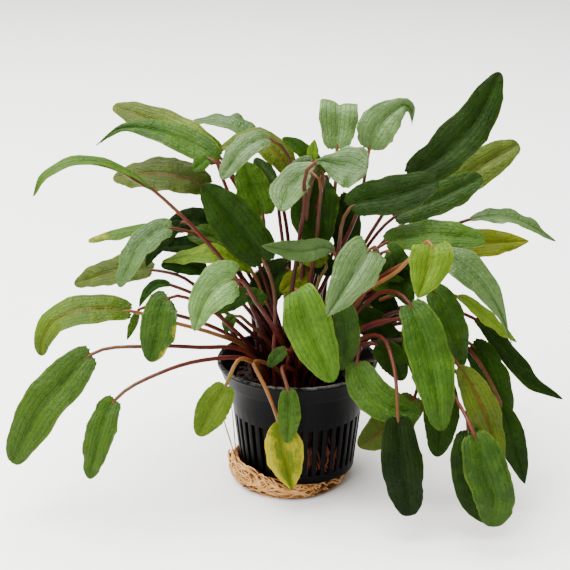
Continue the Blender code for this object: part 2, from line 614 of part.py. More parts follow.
def make_pot():
    """The slotted pot: a turned wall, every other column open along the slots, thickened inwards."""
    mesh = turned(
        (
            (0.0, POT_FOOT_HEIGHT),
            (POT_FOOT_RADIUS, POT_FOOT_HEIGHT),
            (pot_radius(SLOT_FOOT), SLOT_FOOT),
            (pot_radius(SLOT_TOP), SLOT_TOP),
            (POT_NECK_RADIUS, POT_NECK_HEIGHT),
            (COLLAR_FOOT_RADIUS, POT_NECK_HEIGHT + SHOULDER_RISE),
            (COLLAR_RADIUS, RIM_HEIGHT - LIP_DROP),
            (RIM_RADIUS, RIM_HEIGHT),
        ),
        POT_COLUMNS,
    )
    slots = []
    for face in mesh.faces:
        middle = face.calc_center_median()
        column = int(math.degrees(math.atan2(middle.y, middle.x)) % 360 / (360 / POT_COLUMNS))
        if SLOT_FOOT < middle.z < SLOT_TOP and column % 2 == 0:
            slots.append(face)
    bmesh.ops.delete(mesh, geom=slots, context="FACES")
    data = bpy.data.meshes.new("pot")
    mesh.to_mesh(data)
    mesh.free()
    pot = add_object("pot", data, "pot")
    wall = pot.modifiers.new("wall", "SOLIDIFY")
    wall.thickness = POT_WALL
    wall.offset = -1.0
    wall.use_even_offset = True
    return pot


def lump(turn, seed):
    """A small uneven rise around a turn, between -1 and 1."""
    return 0.6 * math.sin(3 * turn + seed) + 0.4 * math.sin(7 * turn + 2.3 * seed)


def make_medium():
    """The growing medium that fills the pot, flat in the crown and lumpy towards the wall."""
    inner = POT_WALL + GAP
    floor = POT_FOOT_HEIGHT + inner
    mesh = turned(
        (
            (0.0, floor),
            (pot_radius(floor) - inner - 2 * FIT, floor),
            (POT_NECK_RADIUS - inner - FIT, MEDIUM_SHOULDER),
            (MEDIUM_OUTER_RING, lambda turn: MEDIUM_TOP - MEDIUM_LUMP * (0.5 - 0.5 * lump(turn, 1.0))),
            (MEDIUM_INNER_RING, lambda turn: MEDIUM_TOP - MEDIUM_LUMP * (0.5 - 0.4 * lump(turn, 4.0))),
            (0.0, MEDIUM_TOP),
        ),
        MEDIUM_COLUMNS,
    )
    data = bpy.data.meshes.new("growing_medium")
    mesh.to_mesh(data)
    mesh.free()
    return add_object("growing_medium", data, "medium")


def oval_radius(oval, turn):
    """How far an oval reaches from the pot's axis on one bearing: its middle's place and half sizes."""
    middle, half_across, half_deep = oval
    across, ahead = math.cos(turn), math.sin(turn)
    square = (across / half_across) ** 2 + (ahead / half_deep) ** 2
    linear = -middle * across / half_across**2
    return (math.sqrt(linear**2 + square * (1 - (middle / half_across) ** 2)) - linear) / square


def root_edge(turn):
    """The height that the mat of roots reaches on one bearing: under the pot, or up its side on the left."""
    share = (math.cos(turn - ROOT_CLIMB_BEARING) - ROOT_CLIMB_START) / (1 - ROOT_CLIMB_START)
    share = min(max(share, 0.0), 1.0)
    rise = share * share * (3 - 2 * share)
    ripple = ROOT_RIPPLE * (0.5 - 0.5 * lump(turn * 2, 2.0))
    return POT_FOOT_HEIGHT - GAP - ripple + (ROOT_CLIMB + ripple) * rise


def root_lip(turn):
    """How far the mat's upper edge reaches from the pot's axis on one bearing."""
    return oval_radius(ROOT_BULGE, turn) - ROOT_LIP_WIDTH


def make_roots():
    """The mat of roots under the pot, turned up against its side on the left."""
    mesh = turned(
        (
            (0.0, 0.0),
            (lambda turn: oval_radius(ROOT_FLAT, turn), 0.0),
            (
                lambda turn: oval_radius(ROOT_TURN, turn),
                lambda turn: ROOT_TURN_HEIGHT * (1 + 0.3 * lump(turn, 3.0)),
            ),
            (lambda turn: oval_radius(ROOT_BULGE, turn), lambda turn: ROOT_BULGE_SHARE * root_edge(turn)),
            (
                lambda turn: oval_radius(ROOT_SHOULDER, turn),
                lambda turn: root_edge(turn) - ROOT_SHOULDER_DROP,
            ),
            (root_lip, root_edge),
            (
                lambda turn: min(POT_FOOT_RADIUS + GAP + FIT, root_lip(turn) - ROOT_SEAT_WIDTH),
                POT_FOOT_HEIGHT - GAP,
            ),
            (0.0, POT_FOOT_HEIGHT - GAP),
        ),
        ROOT_COLUMNS,
    )
    data = bpy.data.meshes.new("root_mat")
    mesh.to_mesh(data)
    mesh.free()
    return add_object("root_mat", data, "roots")


def clear_scene():
    """Empties the scene."""
    for obj in list(bpy.data.objects):
        bpy.data.objects.remove(obj, do_unlink=True)


def main():
    """Builds the pot and what it holds, then the leaves with room between them."""
    clear_scene()
    make_pot()
    make_medium()
    make_roots()
    leaves = [*LEFT_LEAVES, *MIDDLE_LEAVES, *RIGHT_LEAVES, *BACK_LEAVES]
    feet = crown_feet(leaves)
    shapes = [Shape(leaf, feet[leaf.name]) for leaf in leaves]
    make_room(shapes)
    for shape in shapes:
        leaf_solid(shape)


main()
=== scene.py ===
"""The looks of a potted cryptocoryne: its leaves, its slotted pot, the growing medium and the mat of roots.

Metres, +Z up, in the frame of the solids. Each leaf is modelled once for each outline, lying flat, and a copy
of it is then laid along the line of the solid that it stands for.
"""

import json
import logging
import math
import random
from dataclasses import dataclass, field
from enum import Enum
from typing import Callable, Iterable

import bmesh
import bpy
import numpy as np
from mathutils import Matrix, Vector, noise


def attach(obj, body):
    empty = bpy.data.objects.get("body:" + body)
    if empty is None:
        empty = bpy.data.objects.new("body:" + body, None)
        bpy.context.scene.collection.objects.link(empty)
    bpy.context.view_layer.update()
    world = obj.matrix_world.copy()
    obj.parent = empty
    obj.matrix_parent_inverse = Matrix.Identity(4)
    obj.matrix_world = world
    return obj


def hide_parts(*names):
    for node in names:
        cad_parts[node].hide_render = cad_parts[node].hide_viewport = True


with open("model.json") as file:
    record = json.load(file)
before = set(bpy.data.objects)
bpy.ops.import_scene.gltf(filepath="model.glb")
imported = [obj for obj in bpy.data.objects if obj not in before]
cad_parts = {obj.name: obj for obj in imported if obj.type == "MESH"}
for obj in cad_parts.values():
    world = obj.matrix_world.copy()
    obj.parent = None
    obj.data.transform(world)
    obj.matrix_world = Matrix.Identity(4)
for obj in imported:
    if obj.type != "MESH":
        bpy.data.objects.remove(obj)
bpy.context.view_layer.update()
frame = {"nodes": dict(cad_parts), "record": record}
LOG = logging.getLogger("cryptocoryne")

Colour = tuple[float, float, float, float]
Point = tuple[float, float, float]


def hexed(code: str) -> Colour:
    """Returns the linear colour of a six-digit hex code.

    Args:
        code: The colour as it looks on a screen, without a leading sign.

    Returns:
        Red, green, blue and an alpha of 1.
    """
    values = []
    for start in (0, 2, 4):
        share = int(code[start : start + 2], 16) / 255
        values.append(share / 12.92 if share <= 0.04045 else ((share + 0.055) / 1.055) ** 2.4)
    return (*values, 1.0)


class Outline(Enum):
    """How a blade widens from its foot and closes at its tip: where it is widest, and how blunt it ends."""

    OVAL = (0.78, 0.50)
    LONG = (0.90, 0.38)
    LANCE = (0.80, 0.78)
    TAILED = (0.55, 1.40)
    HEART = (0.50, 0.66)
    WEDGE = (1.90, 0.55)

    def width(self, along: float) -> float:
        """Returns the blade's width against its widest.

        Args:
            along: The share of the blade's length, from its foot.

        Returns:
            A share between 0 and 1.
        """
        shoulder, blunt = self.value
        return math.sin(math.pi * min(max(along, 0.0), 1.0) ** shoulder) ** blunt


# Shader groups


@dataclass
class NodeSheet:
    """Places nodes in one node tree and links them."""

    tree: bpy.types.NodeTree
    column: int = 0

    def add(self, kind: str, inputs: dict | None = None, **settings: object) -> bpy.types.Node:
        """Adds a node.

        Args:
            kind: The node's type name.
            inputs: Sockets by name or number, each with a value or a socket to link from.
            **settings: The node's own properties.

        Returns:
            The new node.
        """
        node = self.tree.nodes.new(kind)
        self.column += 1
        node.location = (180 * self.column, -40 * (self.column % 5))
        for name, value in settings.items():
            setattr(node, name, value)
        for name, value in (inputs or {}).items():
            self.feed(node.inputs[name], value)
        return node

    def feed(self, socket: bpy.types.NodeSocket, value: object) -> None:
        """Links a socket, or sets it where the value is a plain one."""
        if isinstance(value, bpy.types.NodeSocket):
            self.tree.links.new(value, socket)
        else:
            socket.default_value = value

    def math(self, operation: str, first: object, second: object = 0.5, clamp: bool = False) -> bpy.types.NodeSocket:
        """Adds a math node.

        Args:
            operation: What the node does.
            first: Its first value or socket.
            second: Its second value or socket.
            clamp: Whether the result stays between 0 and 1.

        Returns:
            The node's value.
        """
        node = self.add("ShaderNodeMath", {0: first, 1: second}, operation=operation, use_clamp=clamp)
        return node.outputs[0]

    def ramp(self, value: object, low: float, high: float, start: float = 0.0, end: float = 1.0) -> bpy.types.NodeSocket:
        """Maps a value smoothly from one range to another.

        Args:
            value: The socket to map.
            low: Where the result starts to change.
            high: Where it has changed.
            start: The result below low.
            end: The result above high.

        Returns:
            The mapped value.
        """
        inputs = {"Value": value, "From Min": low, "From Max": high, "To Min": start, "To Max": end}
        node = self.add("ShaderNodeMapRange", inputs, interpolation_type="SMOOTHSTEP", clamp=True)
        return node.outputs["Result"]

    def mix(self, share: object, first: object, second: object, blend: str = "MIX") -> bpy.types.NodeSocket:
        """Mixes two colours.

        Args:
            share: How much of the second colour shows.
            first: The colour below.
            second: The colour over it.
            blend: How the two are blended.

        Returns:
            The mixed colour.
        """
        node = self.add("ShaderNodeMix", data_type="RGBA", blend_type=blend)
        self.feed(node.inputs[0], share)
        self.feed(node.inputs[6], first)
        self.feed(node.inputs[7], second)
        return node.outputs[2]

    def attribute(self, name: str) -> bpy.types.NodeSocket:
        """Reads one of the piece's own attributes."""
        return self.add("ShaderNodeAttribute", attribute_name=name, attribute_type="GEOMETRY").outputs["Fac"]

    def spots(self, scale: float, detail: float = 3.0, roughness: float = 0.55) -> bpy.types.NodeSocket:
        """Adds noise on the piece's own place in space.

        Args:
            scale: How many spots fit in a metre.
            detail: How many finer layers there are.
            roughness: How strong the finer layers are.

        Returns:
            The noise, about 0.5 on average.
        """
        place = self.add("ShaderNodeTexCoord").outputs["Object"]
        inputs = {"Vector": place, "Scale": scale, "Detail": detail, "Roughness": roughness}
        return self.add("ShaderNodeTexNoise", inputs).outputs["Fac"]


@dataclass
class ShaderGroup:
    """A shader node group with named sockets, built once and used by several materials."""

    name: str
    inputs: dict[str, float]
    outputs: tuple[str, ...]
    build: Callable[[NodeSheet, bpy.types.Node, bpy.types.Node], None]

    def tree(self) -> bpy.types.NodeTree:
        """Returns the group's node tree, which is built the first time."""
        found = bpy.data.node_groups.get(self.name)
        if found:
            return found
        tree = bpy.data.node_groups.new(self.name, "ShaderNodeTree")
        for label, value in self.inputs.items():
            socket = tree.interface.new_socket(label, in_out="INPUT", socket_type="NodeSocketFloat")
            socket.default_value = value
        for label in self.outputs:
            tree.interface.new_socket(label, in_out="OUTPUT", socket_type="NodeSocketFloat")
        sheet = NodeSheet(tree)
        self.build(sheet, sheet.add("NodeGroupInput"), sheet.add("NodeGroupOutput"))
        return tree

    def place(self, sheet: NodeSheet, **values: object) -> bpy.types.Node:
        """Puts the group in a material.

        Args:
            sheet: The material's sheet.
            **values: The group's inputs by name, with underscores for spaces.

        Returns:
            The group's node.
        """
        node = sheet.add("ShaderNodeGroup", node_tree=self.tree())
        for name, value in values.items():
            sheet.feed(node.inputs[name.replace("_", " ").capitalize()], value)
        return node


def build_veins(sheet: NodeSheet, given: bpy.types.Node, result: bpy.types.Node) -> None:
    """Fills the group that draws a blade's veins from its along and across attributes.

    Args:
        sheet: The group's sheet.
        given: The group's input node.
        result: The group's output node.
    """
    along, across = given.outputs["Along"], given.outputs["Across"]
    side = sheet.math("ABSOLUTE", across)
    wander = sheet.math("MULTIPLY", sheet.math("SUBTRACT", sheet.spots(160.0, 1.0), 0.5), 0.10)
    arch = sheet.math("MULTIPLY", sheet.math("ADD", side, wander), given.outputs["Count"])
    arch_line = sheet.math("ABSOLUTE", sheet.math("SUBTRACT", sheet.math("FRACT", arch), 0.5))
    arching = sheet.ramp(arch_line, 0.02, 0.13, 1.0, 0.0)
    slant = sheet.math("SUBTRACT", sheet.math("MULTIPLY", along, 17.0), sheet.math("MULTIPLY", side, 3.4))
    slant = sheet.math("ADD", slant, sheet.math("MULTIPLY", wander, 4.0))
    cross_line = sheet.math("ABSOLUTE", sheet.math("SUBTRACT", sheet.math("FRACT", slant), 0.5))
    crossing = sheet.ramp(cross_line, 0.0, 0.22, 1.0, 0.0)
    vein = sheet.math("MAXIMUM", arching, sheet.math("MULTIPLY", crossing, 0.18))
    inner = sheet.ramp(side, 0.80, 0.97, 1.0, 0.0)
    midrib = sheet.ramp(sheet.math("ADD", side, sheet.math("MULTIPLY", along, 0.05)), 0.05, 0.16, 1.0, 0.0)
    margin = sheet.ramp(sheet.math("ADD", side, wander), 0.86, 0.99)
    sheet.feed(result.inputs["Vein"], sheet.math("MULTIPLY", vein, inner))
    sheet.feed(result.inputs["Midrib"], midrib)
    sheet.feed(result.inputs["Margin"], margin)


def build_mottle(sheet: NodeSheet, given: bpy.types.Node, result: bpy.types.Node) -> None:
    """Fills the group of uneven patches and grain that all the plant's own surfaces share.

    Args:
        sheet: The group's sheet.
        given: The group's input node.
        result: The group's output node.
    """
    patch = sheet.math("ADD", sheet.spots(55.0, 2.0), sheet.math("SUBTRACT", given.outputs["Tint"], 0.5))
    sheet.feed(result.inputs["Patch"], sheet.ramp(patch, 0.25, 0.80))
    sheet.feed(result.inputs["Blotch"], sheet.ramp(sheet.spots(240.0, 4.0, 0.65), 0.42, 0.66))
    sheet.feed(result.inputs["Speck"], sheet.ramp(sheet.spots(620.0, 3.0, 0.65), 0.48, 0.66))
    sheet.feed(result.inputs["Grain"], sheet.spots(1600.0, 2.0))


def build_scuffs(sheet: NodeSheet, given: bpy.types.Node, result: bpy.types.Node) -> None:
    """Fills the group of rubbed marks, settled dust and the pale lip, partly wear and partly a painted highlight, that
    the pot shows.

    Args:
        sheet: The group's sheet.
        given: The group's input node.
        result: The group's output node.
    """
    place = sheet.add("ShaderNodeTexCoord").outputs["Object"]
    stretch = sheet.add("ShaderNodeMapping", {"Vector": place, "Scale": (1.0, 1.0, 0.16)})
    inputs = {"Vector": stretch.outputs["Vector"], "Scale": 900.0, "Detail": 4.0, "Roughness": 0.7}
    streak = sheet.add("ShaderNodeTexNoise", inputs).outputs["Fac"]
    height = sheet.add("ShaderNodeSeparateXYZ", {"Vector": place}).outputs["Z"]
    # The pale band along the top of the lip: partly wear, partly a painted highlight on the upward edge.
    lip = sheet.ramp(height, given.outputs["Lip"], sheet.math("ADD", given.outputs["Lip"], 0.0009))
    broken = sheet.ramp(sheet.spots(420.0, 4.0, 0.7), 0.44, 0.60)
    low = sheet.ramp(height, 0.004, 0.022, 1.0, 0.0)
    soil = sheet.math("MULTIPLY", low, sheet.ramp(sheet.spots(260.0, 5.0, 0.75), 0.48, 0.72))
    sheet.feed(result.inputs["Streak"], sheet.ramp(streak, 0.55, 0.80))
    sheet.feed(result.inputs["Lip"], sheet.math("MULTIPLY", lip, broken))
    sheet.feed(result.inputs["Soil"], soil)


VEINS = ShaderGroup(
    "leaf veins", {"Along": 0.0, "Across": 0.0, "Count": 4.2}, ("Vein", "Midrib", "Margin"), build_veins
)
MOTTLE = ShaderGroup("plant mottle", {"Tint": 0.5}, ("Patch", "Blotch", "Speck", "Grain"), build_mottle)
SCUFFS = ShaderGroup("pot scuffs", {"Lip": 0.0412}, ("Streak", "Lip", "Soil"), build_scuffs)


# Finishes


def new_material(name: str) -> tuple[bpy.types.Material, NodeSheet, bpy.types.Node]:
    """Starts a material.

    Args:
        name: The material's name.

    Returns:
        The material, its sheet and its Principled shader.
    """
    material = bpy.data.materials.new(name)
    material.use_nodes = True
    shader = material.node_tree.nodes["Principled BSDF"]
    return material, NodeSheet(material.node_tree), shader


def bump(sheet: NodeSheet, shader: bpy.types.Node, height: object, distance: float, strength: float) -> None:
    """Raises a surface by a height that varies over it.

    Args:
        sheet: The material's sheet.
        shader: The shader whose normal is set.
        height: The height's socket, from 0 to 1.
        distance: The rise of a height of 1, in metres.
        strength: How strongly the bump shows.
    """
    node = sheet.add("ShaderNodeBump", {"Height": height, "Distance": distance, "Strength": strength})
    sheet.feed(shader.inputs["Normal"], node.outputs["Normal"])


@dataclass(frozen=True)
class BladeFinish:
    """The two faces of a leaf's blade."""

    name: str
    deep: Colour
    light: Colour
    margin: Colour
    midrib: Colour
    under: Colour
    under_vein: Colour
    roughness: float = 0.44
    specular: float = 0.16

    def upper(self) -> bpy.types.Material:
        """Returns the upper face's material."""
        found = bpy.data.materials.get(f"{self.name} upper")
        if found:
            return found
        material, sheet, shader = new_material(f"{self.name} upper")
        veins, mottle = self.groups(sheet)
        colour = sheet.mix(mottle.outputs["Patch"], self.deep, self.light)
        # Lighter blotches, which the bump also raises: partly mottling, partly a painted sheen on the raised patches.
        colour = sheet.mix(sheet.math("MULTIPLY", mottle.outputs["Blotch"], 0.50), colour, self.light)
        colour = sheet.mix(sheet.math("MULTIPLY", mottle.outputs["Speck"], 0.45), colour, self.deep)
        # Darker veins: partly the veins' own colour, partly painted shading in the sunken veins.
        colour = sheet.mix(sheet.math("MULTIPLY", veins.outputs["Vein"], 0.30), colour, self.deep)
        colour = sheet.mix(sheet.math("MULTIPLY", veins.outputs["Margin"], 0.18), colour, self.margin)
        colour = self.aged(sheet, colour, mottle)
        flush = sheet.mix(sheet.attribute("flush"), self.midrib, hexed("5c2016"))
        colour = sheet.mix(sheet.math("MULTIPLY", veins.outputs["Midrib"], 0.55), colour, flush)
        # Scales the colour by the leaf's factor, which is partly painted light and painted shading.
        sheet.feed(shader.inputs["Base Color"], self.scaled_by_painted_light_and_tone(sheet, colour))
        self.gloss(sheet, shader, veins, mottle, self.roughness)
        return material

    def lower(self) -> bpy.types.Material:
        """Returns the under face's material."""
        found = bpy.data.materials.get(f"{self.name} under")
        if found:
            return found
        material, sheet, shader = new_material(f"{self.name} under")
        veins, mottle = self.groups(sheet)
        colour = sheet.mix(sheet.math("MULTIPLY", mottle.outputs["Patch"], 0.5), self.under, self.light)
        colour = sheet.mix(sheet.math("MULTIPLY", veins.outputs["Vein"], 0.45), colour, self.under_vein)
        colour = self.aged(sheet, colour, mottle)
        colour = sheet.mix(sheet.math("MULTIPLY", veins.outputs["Midrib"], 0.75), colour, self.under_vein)
        # Scales the colour by the leaf's factor, which is partly painted light and painted shading.
        sheet.feed(shader.inputs["Base Color"], self.scaled_by_painted_light_and_tone(sheet, colour))
        self.gloss(sheet, shader, veins, mottle, self.roughness + 0.08)
        return material

    def groups(self, sheet: NodeSheet) -> tuple[bpy.types.Node, bpy.types.Node]:
        """Places the veins and the mottle in a material of this finish.

        Args:
            sheet: The material's sheet.

        Returns:
            The two group nodes.
        """
        veins = VEINS.place(sheet, along=sheet.attribute("along"), across=sheet.attribute("across"))
        return veins, MOTTLE.place(sheet, tint=sheet.attribute("tint"))

    @staticmethod
    def scaled_by_painted_light_and_tone(sheet: NodeSheet, colour: object) -> bpy.types.NodeSocket:
        """Lightens or darkens a colour by the leaf's own factor, which is partly its tone and partly painted light and
        painted shading.
        """
        inputs = {0: colour, "Scale": sheet.attribute("painted_light_and_tone")}
        return sheet.add("ShaderNodeVectorMath", inputs, operation="SCALE").outputs["Vector"]

    def aged(self, sheet: NodeSheet, colour: object, mottle: bpy.types.Node) -> bpy.types.NodeSocket:
        """Lays the yellow and then the brown of ageing over a colour.

        Args:
            sheet: The material's sheet.
            colour: The colour below.
            mottle: The mottle's group node.

        Returns:
            The colour with its ageing.
        """
        age = sheet.attribute("aged")
        spotted = sheet.math("ADD", age, sheet.math("MULTIPLY", sheet.math("SUBTRACT", mottle.outputs["Blotch"], 0.5), 0.3))
        colour = sheet.mix(sheet.ramp(spotted, 0.18, 0.75), colour, hexed("8e8414"))
        return sheet.mix(sheet.ramp(spotted, 0.86, 1.10), colour, hexed("7a4614"))

    def gloss(
        self, sheet: NodeSheet, shader: bpy.types.Node, veins: bpy.types.Node, mottle: bpy.types.Node, roughness: float
    ) -> None:
        """Sets the satin gloss, the relief of the veins and the light that a thin blade lets through.

        Args:
            sheet: The material's sheet.
            shader: The material's shader.
            veins: The veins' group node.
            mottle: The mottle's group node.
            roughness: The roughness on average.
        """
        rough = sheet.math("ADD", sheet.math("MULTIPLY", mottle.outputs["Grain"], 0.16), roughness - 0.08)
        sheet.feed(shader.inputs["Roughness"], rough)
        shader.inputs["Specular IOR Level"].default_value = self.specular
        shader.inputs["Subsurface Weight"].default_value = 0.12
        shader.inputs["Subsurface Radius"].default_value = (0.4, 1.0, 0.2)
        shader.inputs["Subsurface Scale"].default_value = 0.0008
        sunk = sheet.math("MULTIPLY", veins.outputs["Vein"], -0.55)
        height = sheet.math("ADD", sunk, sheet.math("MULTIPLY", mottle.outputs["Grain"], 0.35))
        height = sheet.math("ADD", height, sheet.math("MULTIPLY", mottle.outputs["Blotch"], 0.7))
        height = sheet.math("SUBTRACT", height, sheet.math("MULTIPLY", mottle.outputs["Speck"], 0.4))
        bump(sheet, shader, height, 0.00034, 0.8)


@dataclass(frozen=True)
class StalkFinish:
    """The petiole, from its foot in the crown to the midrib under the blade."""

    name: str
    foot: Colour
    middle: Colour
    top: Colour

    def material(self) -> bpy.types.Material:
        """Returns the petiole's material."""
        found = bpy.data.materials.get(self.name)
        if found:
            return found
        material, sheet, shader = new_material(self.name)
        along = sheet.attribute("along")
        mottle = MOTTLE.place(sheet, tint=sheet.attribute("tint"))
        uneven = sheet.math("ADD", along, sheet.math("MULTIPLY", sheet.math("SUBTRACT", mottle.outputs["Patch"], 0.5), 0.5))
        colour = sheet.mix(sheet.ramp(uneven, -0.95, -0.45), self.foot, self.middle)
        colour = sheet.mix(sheet.ramp(uneven, -0.35, 0.25), colour, self.top)
        colour = sheet.mix(sheet.math("MULTIPLY", mottle.outputs["Blotch"], 0.35), colour, self.foot)
        sheet.feed(shader.inputs["Base Color"], colour)
        sheet.feed(shader.inputs["Roughness"], sheet.math("ADD", sheet.math("MULTIPLY", mottle.outputs["Grain"], 0.2), 0.26))
        shader.inputs["Specular IOR Level"].default_value = 0.14
        bump(sheet, shader, mottle.outputs["Grain"], 0.0001, 0.5)
        return material


BLADES = {
    "leaf_dark": BladeFinish(
        "dark leaf", hexed("0d1c01"), hexed("1c3303"), hexed("46550f"), hexed("142603"), hexed("2a3f0c"), hexed("465519"),
        specular=0.05,
    ),
    "leaf_green": BladeFinish(
        "green leaf", hexed("1f3806"), hexed("37520c"), hexed("5d6916"), hexed("264109"), hexed("3c5211"), hexed("5d6420"),
        specular=0.09,
    ),
    # Grey-green finish: partly the leaves' own colour, partly a painted sheen; its lighter and greyer base colours
    # stand in for the satin reflection on upturned blades.
    "leaf_grey": BladeFinish(
        "grey leaf with painted sheen", hexed("304a17"), hexed("4e6834"), hexed("67772e"), hexed("37511d"), hexed("4c6227"), hexed("6d773b"),
        specular=0.20,
    ),
    "leaf_olive": BladeFinish(
        "olive leaf", hexed("334007"), hexed("4c5a12"), hexed("69681c"), hexed("423a0d"), hexed("525c21"), hexed("665c27"),
        specular=0.09,
    ),
    "leaf_lime": BladeFinish(
        "lime leaf", hexed("3a5204"), hexed("566b11"), hexed("777a18"), hexed("4d590c"), hexed("5f691e"), hexed("726928"),
        specular=0.09,
    ),
    "leaf_yellow": BladeFinish(
        "yellow leaf", hexed("465305"), hexed("626607"), hexed("81700b"), hexed("575608"), hexed("666311"), hexed("72601a"),
        specular=0.07,
    ),
}
RED_STALK = StalkFinish("red petiole", hexed("1e0605"), hexed("44160e"), hexed("4e341a"))
TAN_STALK = StalkFinish("tan petiole", hexed("3a1e0c"), hexed("6a421c"), hexed("5c561c"))
STALKS = {slot: TAN_STALK if slot in ("leaf_lime", "leaf_yellow") else RED_STALK for slot in BLADES}


@dataclass(frozen=True)
class PlasticFinish:
    """The pot's black plastic, with scuffs, a pale lip that is partly wear and partly a painted highlight, and soil in
    the grooves.
    """

    body: Colour = hexed("030304")
    rubbed: Colour = hexed("0c0c10")
    # Pale grey for the top of the lip: partly wear, partly a painted highlight.
    lip: Colour = hexed("5a5852")
    soil: Colour = hexed("1e120a")

    def material(self) -> bpy.types.Material:
        """Returns the plastic's material."""
        material, sheet, shader = new_material("black pot plastic")
        scuffs = SCUFFS.place(sheet)
        grain = sheet.spots(2200.0, 2.0)
        colour = sheet.mix(sheet.math("MULTIPLY", scuffs.outputs["Streak"], 0.35), self.body, self.rubbed)
        colour = sheet.mix(sheet.math("MULTIPLY", scuffs.outputs["Soil"], 0.6), colour, self.soil)
        # Lays the pale lip, partly wear and partly a painted highlight.
        colour = sheet.mix(sheet.math("MULTIPLY", scuffs.outputs["Lip"], 0.7), colour, self.lip)
        sheet.feed(shader.inputs["Base Color"], colour)
        rough = sheet.math("ADD", sheet.math("MULTIPLY", scuffs.outputs["Streak"], 0.16), 0.42)
        rough = sheet.math("ADD", rough, sheet.math("MULTIPLY", scuffs.outputs["Soil"], 0.35))
        sheet.feed(shader.inputs["Roughness"], rough)
        shader.inputs["Specular IOR Level"].default_value = 0.045
        bump(sheet, shader, grain, 0.00006, 0.5)
        return material


@dataclass(frozen=True)
class FibreFinish:
    """Roots or peat: two tones that change from strand to strand and along each one."""

    name: str
    dark: Colour
    light: Colour
    pale: Colour
    roughness: float
    scale: float

    def material(self) -> bpy.types.Material:
        """Returns the finish's material."""
        found = bpy.data.materials.get(self.name)
        if found:
            return found
        material, sheet, shader = new_material(self.name)
        patch = sheet.ramp(sheet.spots(self.scale, 3.0), 0.36, 0.64)
        fine = sheet.spots(self.scale * 7, 3.0, 0.7)
        colour = sheet.mix(patch, self.dark, self.light)
        colour = sheet.mix(sheet.ramp(fine, 0.52, 0.74), colour, self.pale)
        sheet.feed(shader.inputs["Base Color"], colour)
        shader.inputs["Roughness"].default_value = self.roughness
        shader.inputs["Specular IOR Level"].default_value = 0.15
        bump(sheet, shader, fine, 0.0003, 0.8)
        return material


ROOT_BODY = FibreFinish("matted roots", hexed("200c05"), hexed("5c2e16"), hexed("84502c"), 0.85, 420.0)
ROOT_TONES = (
    FibreFinish("pale roots", hexed("b07c42"), hexed("cc9c60"), hexed("dcb880"), 0.65, 300.0),
    FibreFinish("tan roots", hexed("6e3a1a"), hexed("96602f"), hexed("b07e46"), 0.65, 300.0),
    FibreFinish("brown roots", hexed("341408"), hexed("582a14"), hexed("784020"), 0.7, 300.0),
)
PEAT = FibreFinish("damp peat", hexed("0c0604"), hexed("1e100a"), hexed("44261a"), 0.85, 500.0)


# Modelling by hand


def deselect() -> None:
    """Leaves nothing selected, in object mode."""
    if bpy.context.object and bpy.context.object.mode != "OBJECT":
        bpy.ops.object.mode_set(mode="OBJECT")
    bpy.ops.object.select_all(action="DESELECT")


def named(name: str) -> bpy.types.Object:
    """Names the object that was just added, and its mesh, and returns it."""
    piece = bpy.context.object
    piece.name = name
    piece.data.name = name
    return piece


def pick(piece: bpy.types.Object, test: Callable[[Vector], bool], faces: bool = False) -> int:
    """Selects a mesh's vertices, or its faces, by their place, in edit mode.

    Args:
        piece: The object in edit mode.
        test: Whether a vertex or a face's middle is picked.
        faces: Whether faces are picked.

    Returns:
        How many were picked.
    """
    mesh = bmesh.from_edit_mesh(piece.data)
    for group in (mesh.verts, mesh.edges, mesh.faces):
        for element in group:
            element.select = False
    found = 0
    for element in mesh.faces if faces else mesh.verts:
        if test(element.calc_center_median() if faces else element.co):
            element.select_set(True)
            found += 1
    mesh.select_mode = {"FACE"} if faces else {"VERT"}
    bpy.context.tool_settings.mesh_select_mode = (not faces, False, faces)
    if not faces:
        mesh.select_flush(True)
    bmesh.update_edit_mesh(piece.data)
    return found


def write_attribute(piece: bpy.types.Object, name: str, values: np.ndarray) -> None:
    """Writes one number to each of a mesh's points.

    Args:
        piece: The object.
        name: The attribute's name.
        values: The numbers, one for each point.
    """
    found = piece.data.attributes.get(name) or piece.data.attributes.new(name, "FLOAT", "POINT")
    found.data.foreach_set("value", values.astype(np.float32))


def read_attribute(piece: bpy.types.Object, name: str) -> np.ndarray:
    """Returns the numbers of one of a mesh's point attributes."""
    values = np.zeros(len(piece.data.vertices), np.float32)
    piece.data.attributes[name].data.foreach_get("value", values)
    return values.astype(float)


def read_points(piece: bpy.types.Object) -> np.ndarray:
    """Returns a mesh's points, one row each."""
    values = np.zeros(3 * len(piece.data.vertices), np.float32)
    piece.data.vertices.foreach_get("co", values)
    return values.reshape(-1, 3).astype(float)


def write_points(piece: bpy.types.Object, points: np.ndarray) -> None:
    """Moves a mesh's points."""
    piece.data.vertices.foreach_set("co", points.astype(np.float32).ravel())
    piece.data.update()


def apply_modifiers(piece: bpy.types.Object) -> None:
    """Applies an object's modifiers in their order."""
    deselect()
    bpy.context.view_layer.objects.active = piece
    piece.select_set(True)
    for modifier in list(piece.modifiers):
        bpy.ops.object.modifier_apply(modifier=modifier.name)


def join(name: str, pieces: list[bpy.types.Object]) -> bpy.types.Object:
    """Joins objects into the first of them.

    Args:
        name: The joined object's name.
        pieces: The objects.

    Returns:
        The joined object.
    """
    deselect()
    for piece in pieces:
        piece.select_set(True)
    bpy.context.view_layer.objects.active = pieces[0]
    bpy.ops.object.join()
    return named(name)


# Leaves

ROW_REACH = 0.002


